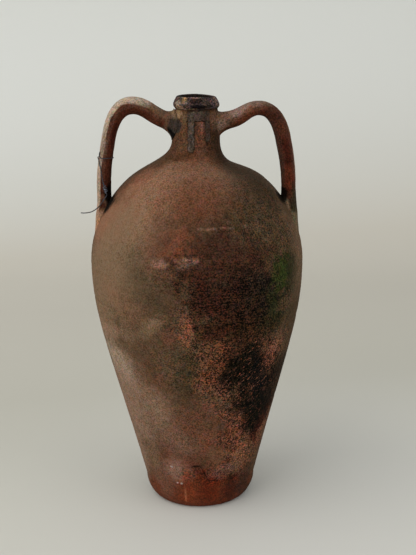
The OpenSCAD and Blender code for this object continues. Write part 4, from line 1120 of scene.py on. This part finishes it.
# The knot's paler, bluer iron is a painted highlight on the same wire.
highlit_knot_iron = wire_material("iron_knot_highlit", (0.170, 0.185, 0.225), (0.060, 0.050, 0.050))
loose_wire.data.materials.append(iron)
u, angle, gap = np.array(WIRE_WAY).T
wire_way = smooth_way(on_strap(u, angle, gap + 0.3 * WIRE_D), 6)
tie = wire_tube("tie_wire_turn", wire_way, WIRE_D)
# The knot is a helix round the last straight stretch of the wire.
knot_low, knot_high = wire_way[-1], wire_way[-19]
down = (knot_low - knot_high) / np.linalg.norm(knot_low - knot_high)
side_way = np.cross(down, (0.0, 1.0, 0.0))
side_way /= np.linalg.norm(side_way)
front_way = np.cross(down, side_way)
steps = np.linspace(0, 1, 49)
turns = steps[:, None] * 4 * 2 * math.pi
knot_way = (knot_high + knot_low) / 2 + (steps[:, None] - 0.5) * 0.0104 * down \
    + 0.0019 * (np.cos(turns) * front_way + np.sin(turns) * side_way)
knot = wire_tube("tie_knot_coil", knot_way, WIRE_D)
for piece, name, finish in ((tie, "tie_wire", iron), (knot, "tie_knot", highlit_knot_iron)):
    piece.data.materials.append(finish)
    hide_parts(name)

# Floor and light
# A pale seamless floor that turns up behind the jar, one broad soft light from the upper
# left, and a weak fill.
sweep = np.linspace(0.1, math.pi / 2, 12)
floor_y = np.concatenate([np.linspace(-3.0, 1.2, 8), 1.2 + 0.8 * np.sin(sweep), [2.0, 2.0]])
floor_z = np.concatenate([np.zeros(8), 0.8 - 0.8 * np.cos(sweep), [2.0, 4.0]])
rows = len(floor_y)
floor_points = np.concatenate([
    np.stack([np.full(rows, side), floor_y, floor_z], 1) for side in (-4.0, 4.0)])
floor_faces = [(i, rows + i, rows + i + 1, i + 1) for i in range(rows - 1)]
floor_mesh = bpy.data.meshes.new("floor")
floor_mesh.from_pydata(floor_points, [], floor_faces)
floor_mesh.shade_smooth()
floor = bpy.data.objects.new("floor", floor_mesh)
bpy.context.scene.collection.objects.link(floor)
# The paper is painted paler far behind the jar, and toward the left, than under it, as painted light:
# distance back and up, and colour.
PAPER = ((0.0, (0.56, 0.555, 0.50)), (0.30, (0.54, 0.53, 0.465)), (0.42, (0.49, 0.475, 0.41)),
         (0.62, (0.51, 0.485, 0.42)), (0.78, (0.56, 0.53, 0.46)), (0.90, (0.63, 0.625, 0.575)),
         (1.0, (0.71, 0.72, 0.685)))
paper = bpy.data.materials.new("paper")
paper.use_nodes = True
tree = paper.node_tree
where = node(tree, "ShaderNodeTexCoord").outputs["Object"]
at = node(tree, "ShaderNodeSeparateXYZ", {0: where}).outputs
back = math_node(tree, "ADD", at["Y"], at["Z"])
back = math_node(tree, "MULTIPLY_ADD", at["X"], -0.16, back)
ramp = tree.nodes.new("ShaderNodeValToRGB")
tree.links.new(between(tree, back, -1.5, 2.8), ramp.inputs["Fac"])
while len(ramp.color_ramp.elements) < len(PAPER):
    ramp.color_ramp.elements.new(0.5)
for stop, (place, colour) in zip(ramp.color_ramp.elements, PAPER):
    stop.position = place
    stop.color = (*colour, 1)
# Round the jar, more to its right, a pool of light is painted on the paper, which also lightens the
# jar's shadow.
off = node(tree, "ShaderNodeVectorMath", {0: where, 1: (0.22, -0.12, 0.0)}, operation="DISTANCE")
painted_light_pool = between(tree, off.outputs["Value"], 0.10, 0.75, 0.75, 0.0)
colour = mix(tree, painted_light_pool, ramp.outputs["Color"], (0.60, 0.59, 0.55))
tree.links.new(colour, tree.nodes["Principled BSDF"].inputs["Base Color"])
tree.nodes["Principled BSDF"].inputs["Roughness"].default_value = 0.9
floor_mesh.materials.append(paper)


def soft_light(name, size, power, place, aim=(0, 0, 0.3), colour=(1, 1, 1)):
    """A square area light at a place, turned to what it lights."""
    data = bpy.data.lights.new(name, "AREA")
    data.size = size
    data.energy = power
    data.color = colour
    light = bpy.data.objects.new(name, data)
    light.location = place
    away = np.asarray(place, float) - np.asarray(aim, float)
    flat = math.hypot(away[0], away[1])
    light.rotation_euler = (math.atan2(flat, away[2]), 0, math.atan2(away[0], -away[1]))
    bpy.context.scene.collection.objects.link(light)


soft_light("key", 3.0, 38, (-1.7, -1.1, 1.9), colour=(1.0, 0.98, 0.95))
soft_light("fill", 2.0, 11, (2.2, -1.2, 1.2))
world = bpy.data.worlds.new("studio")
world.use_nodes = True
world.node_tree.nodes["Background"].inputs["Color"].default_value = (0.97, 0.985, 1.0, 1)
world.node_tree.nodes["Background"].inputs["Strength"].default_value = 0.76
bpy.context.scene.world = world
bpy.context.scene.view_settings.view_transform = "Standard"
bpy.context.scene.view_settings.look = "None"
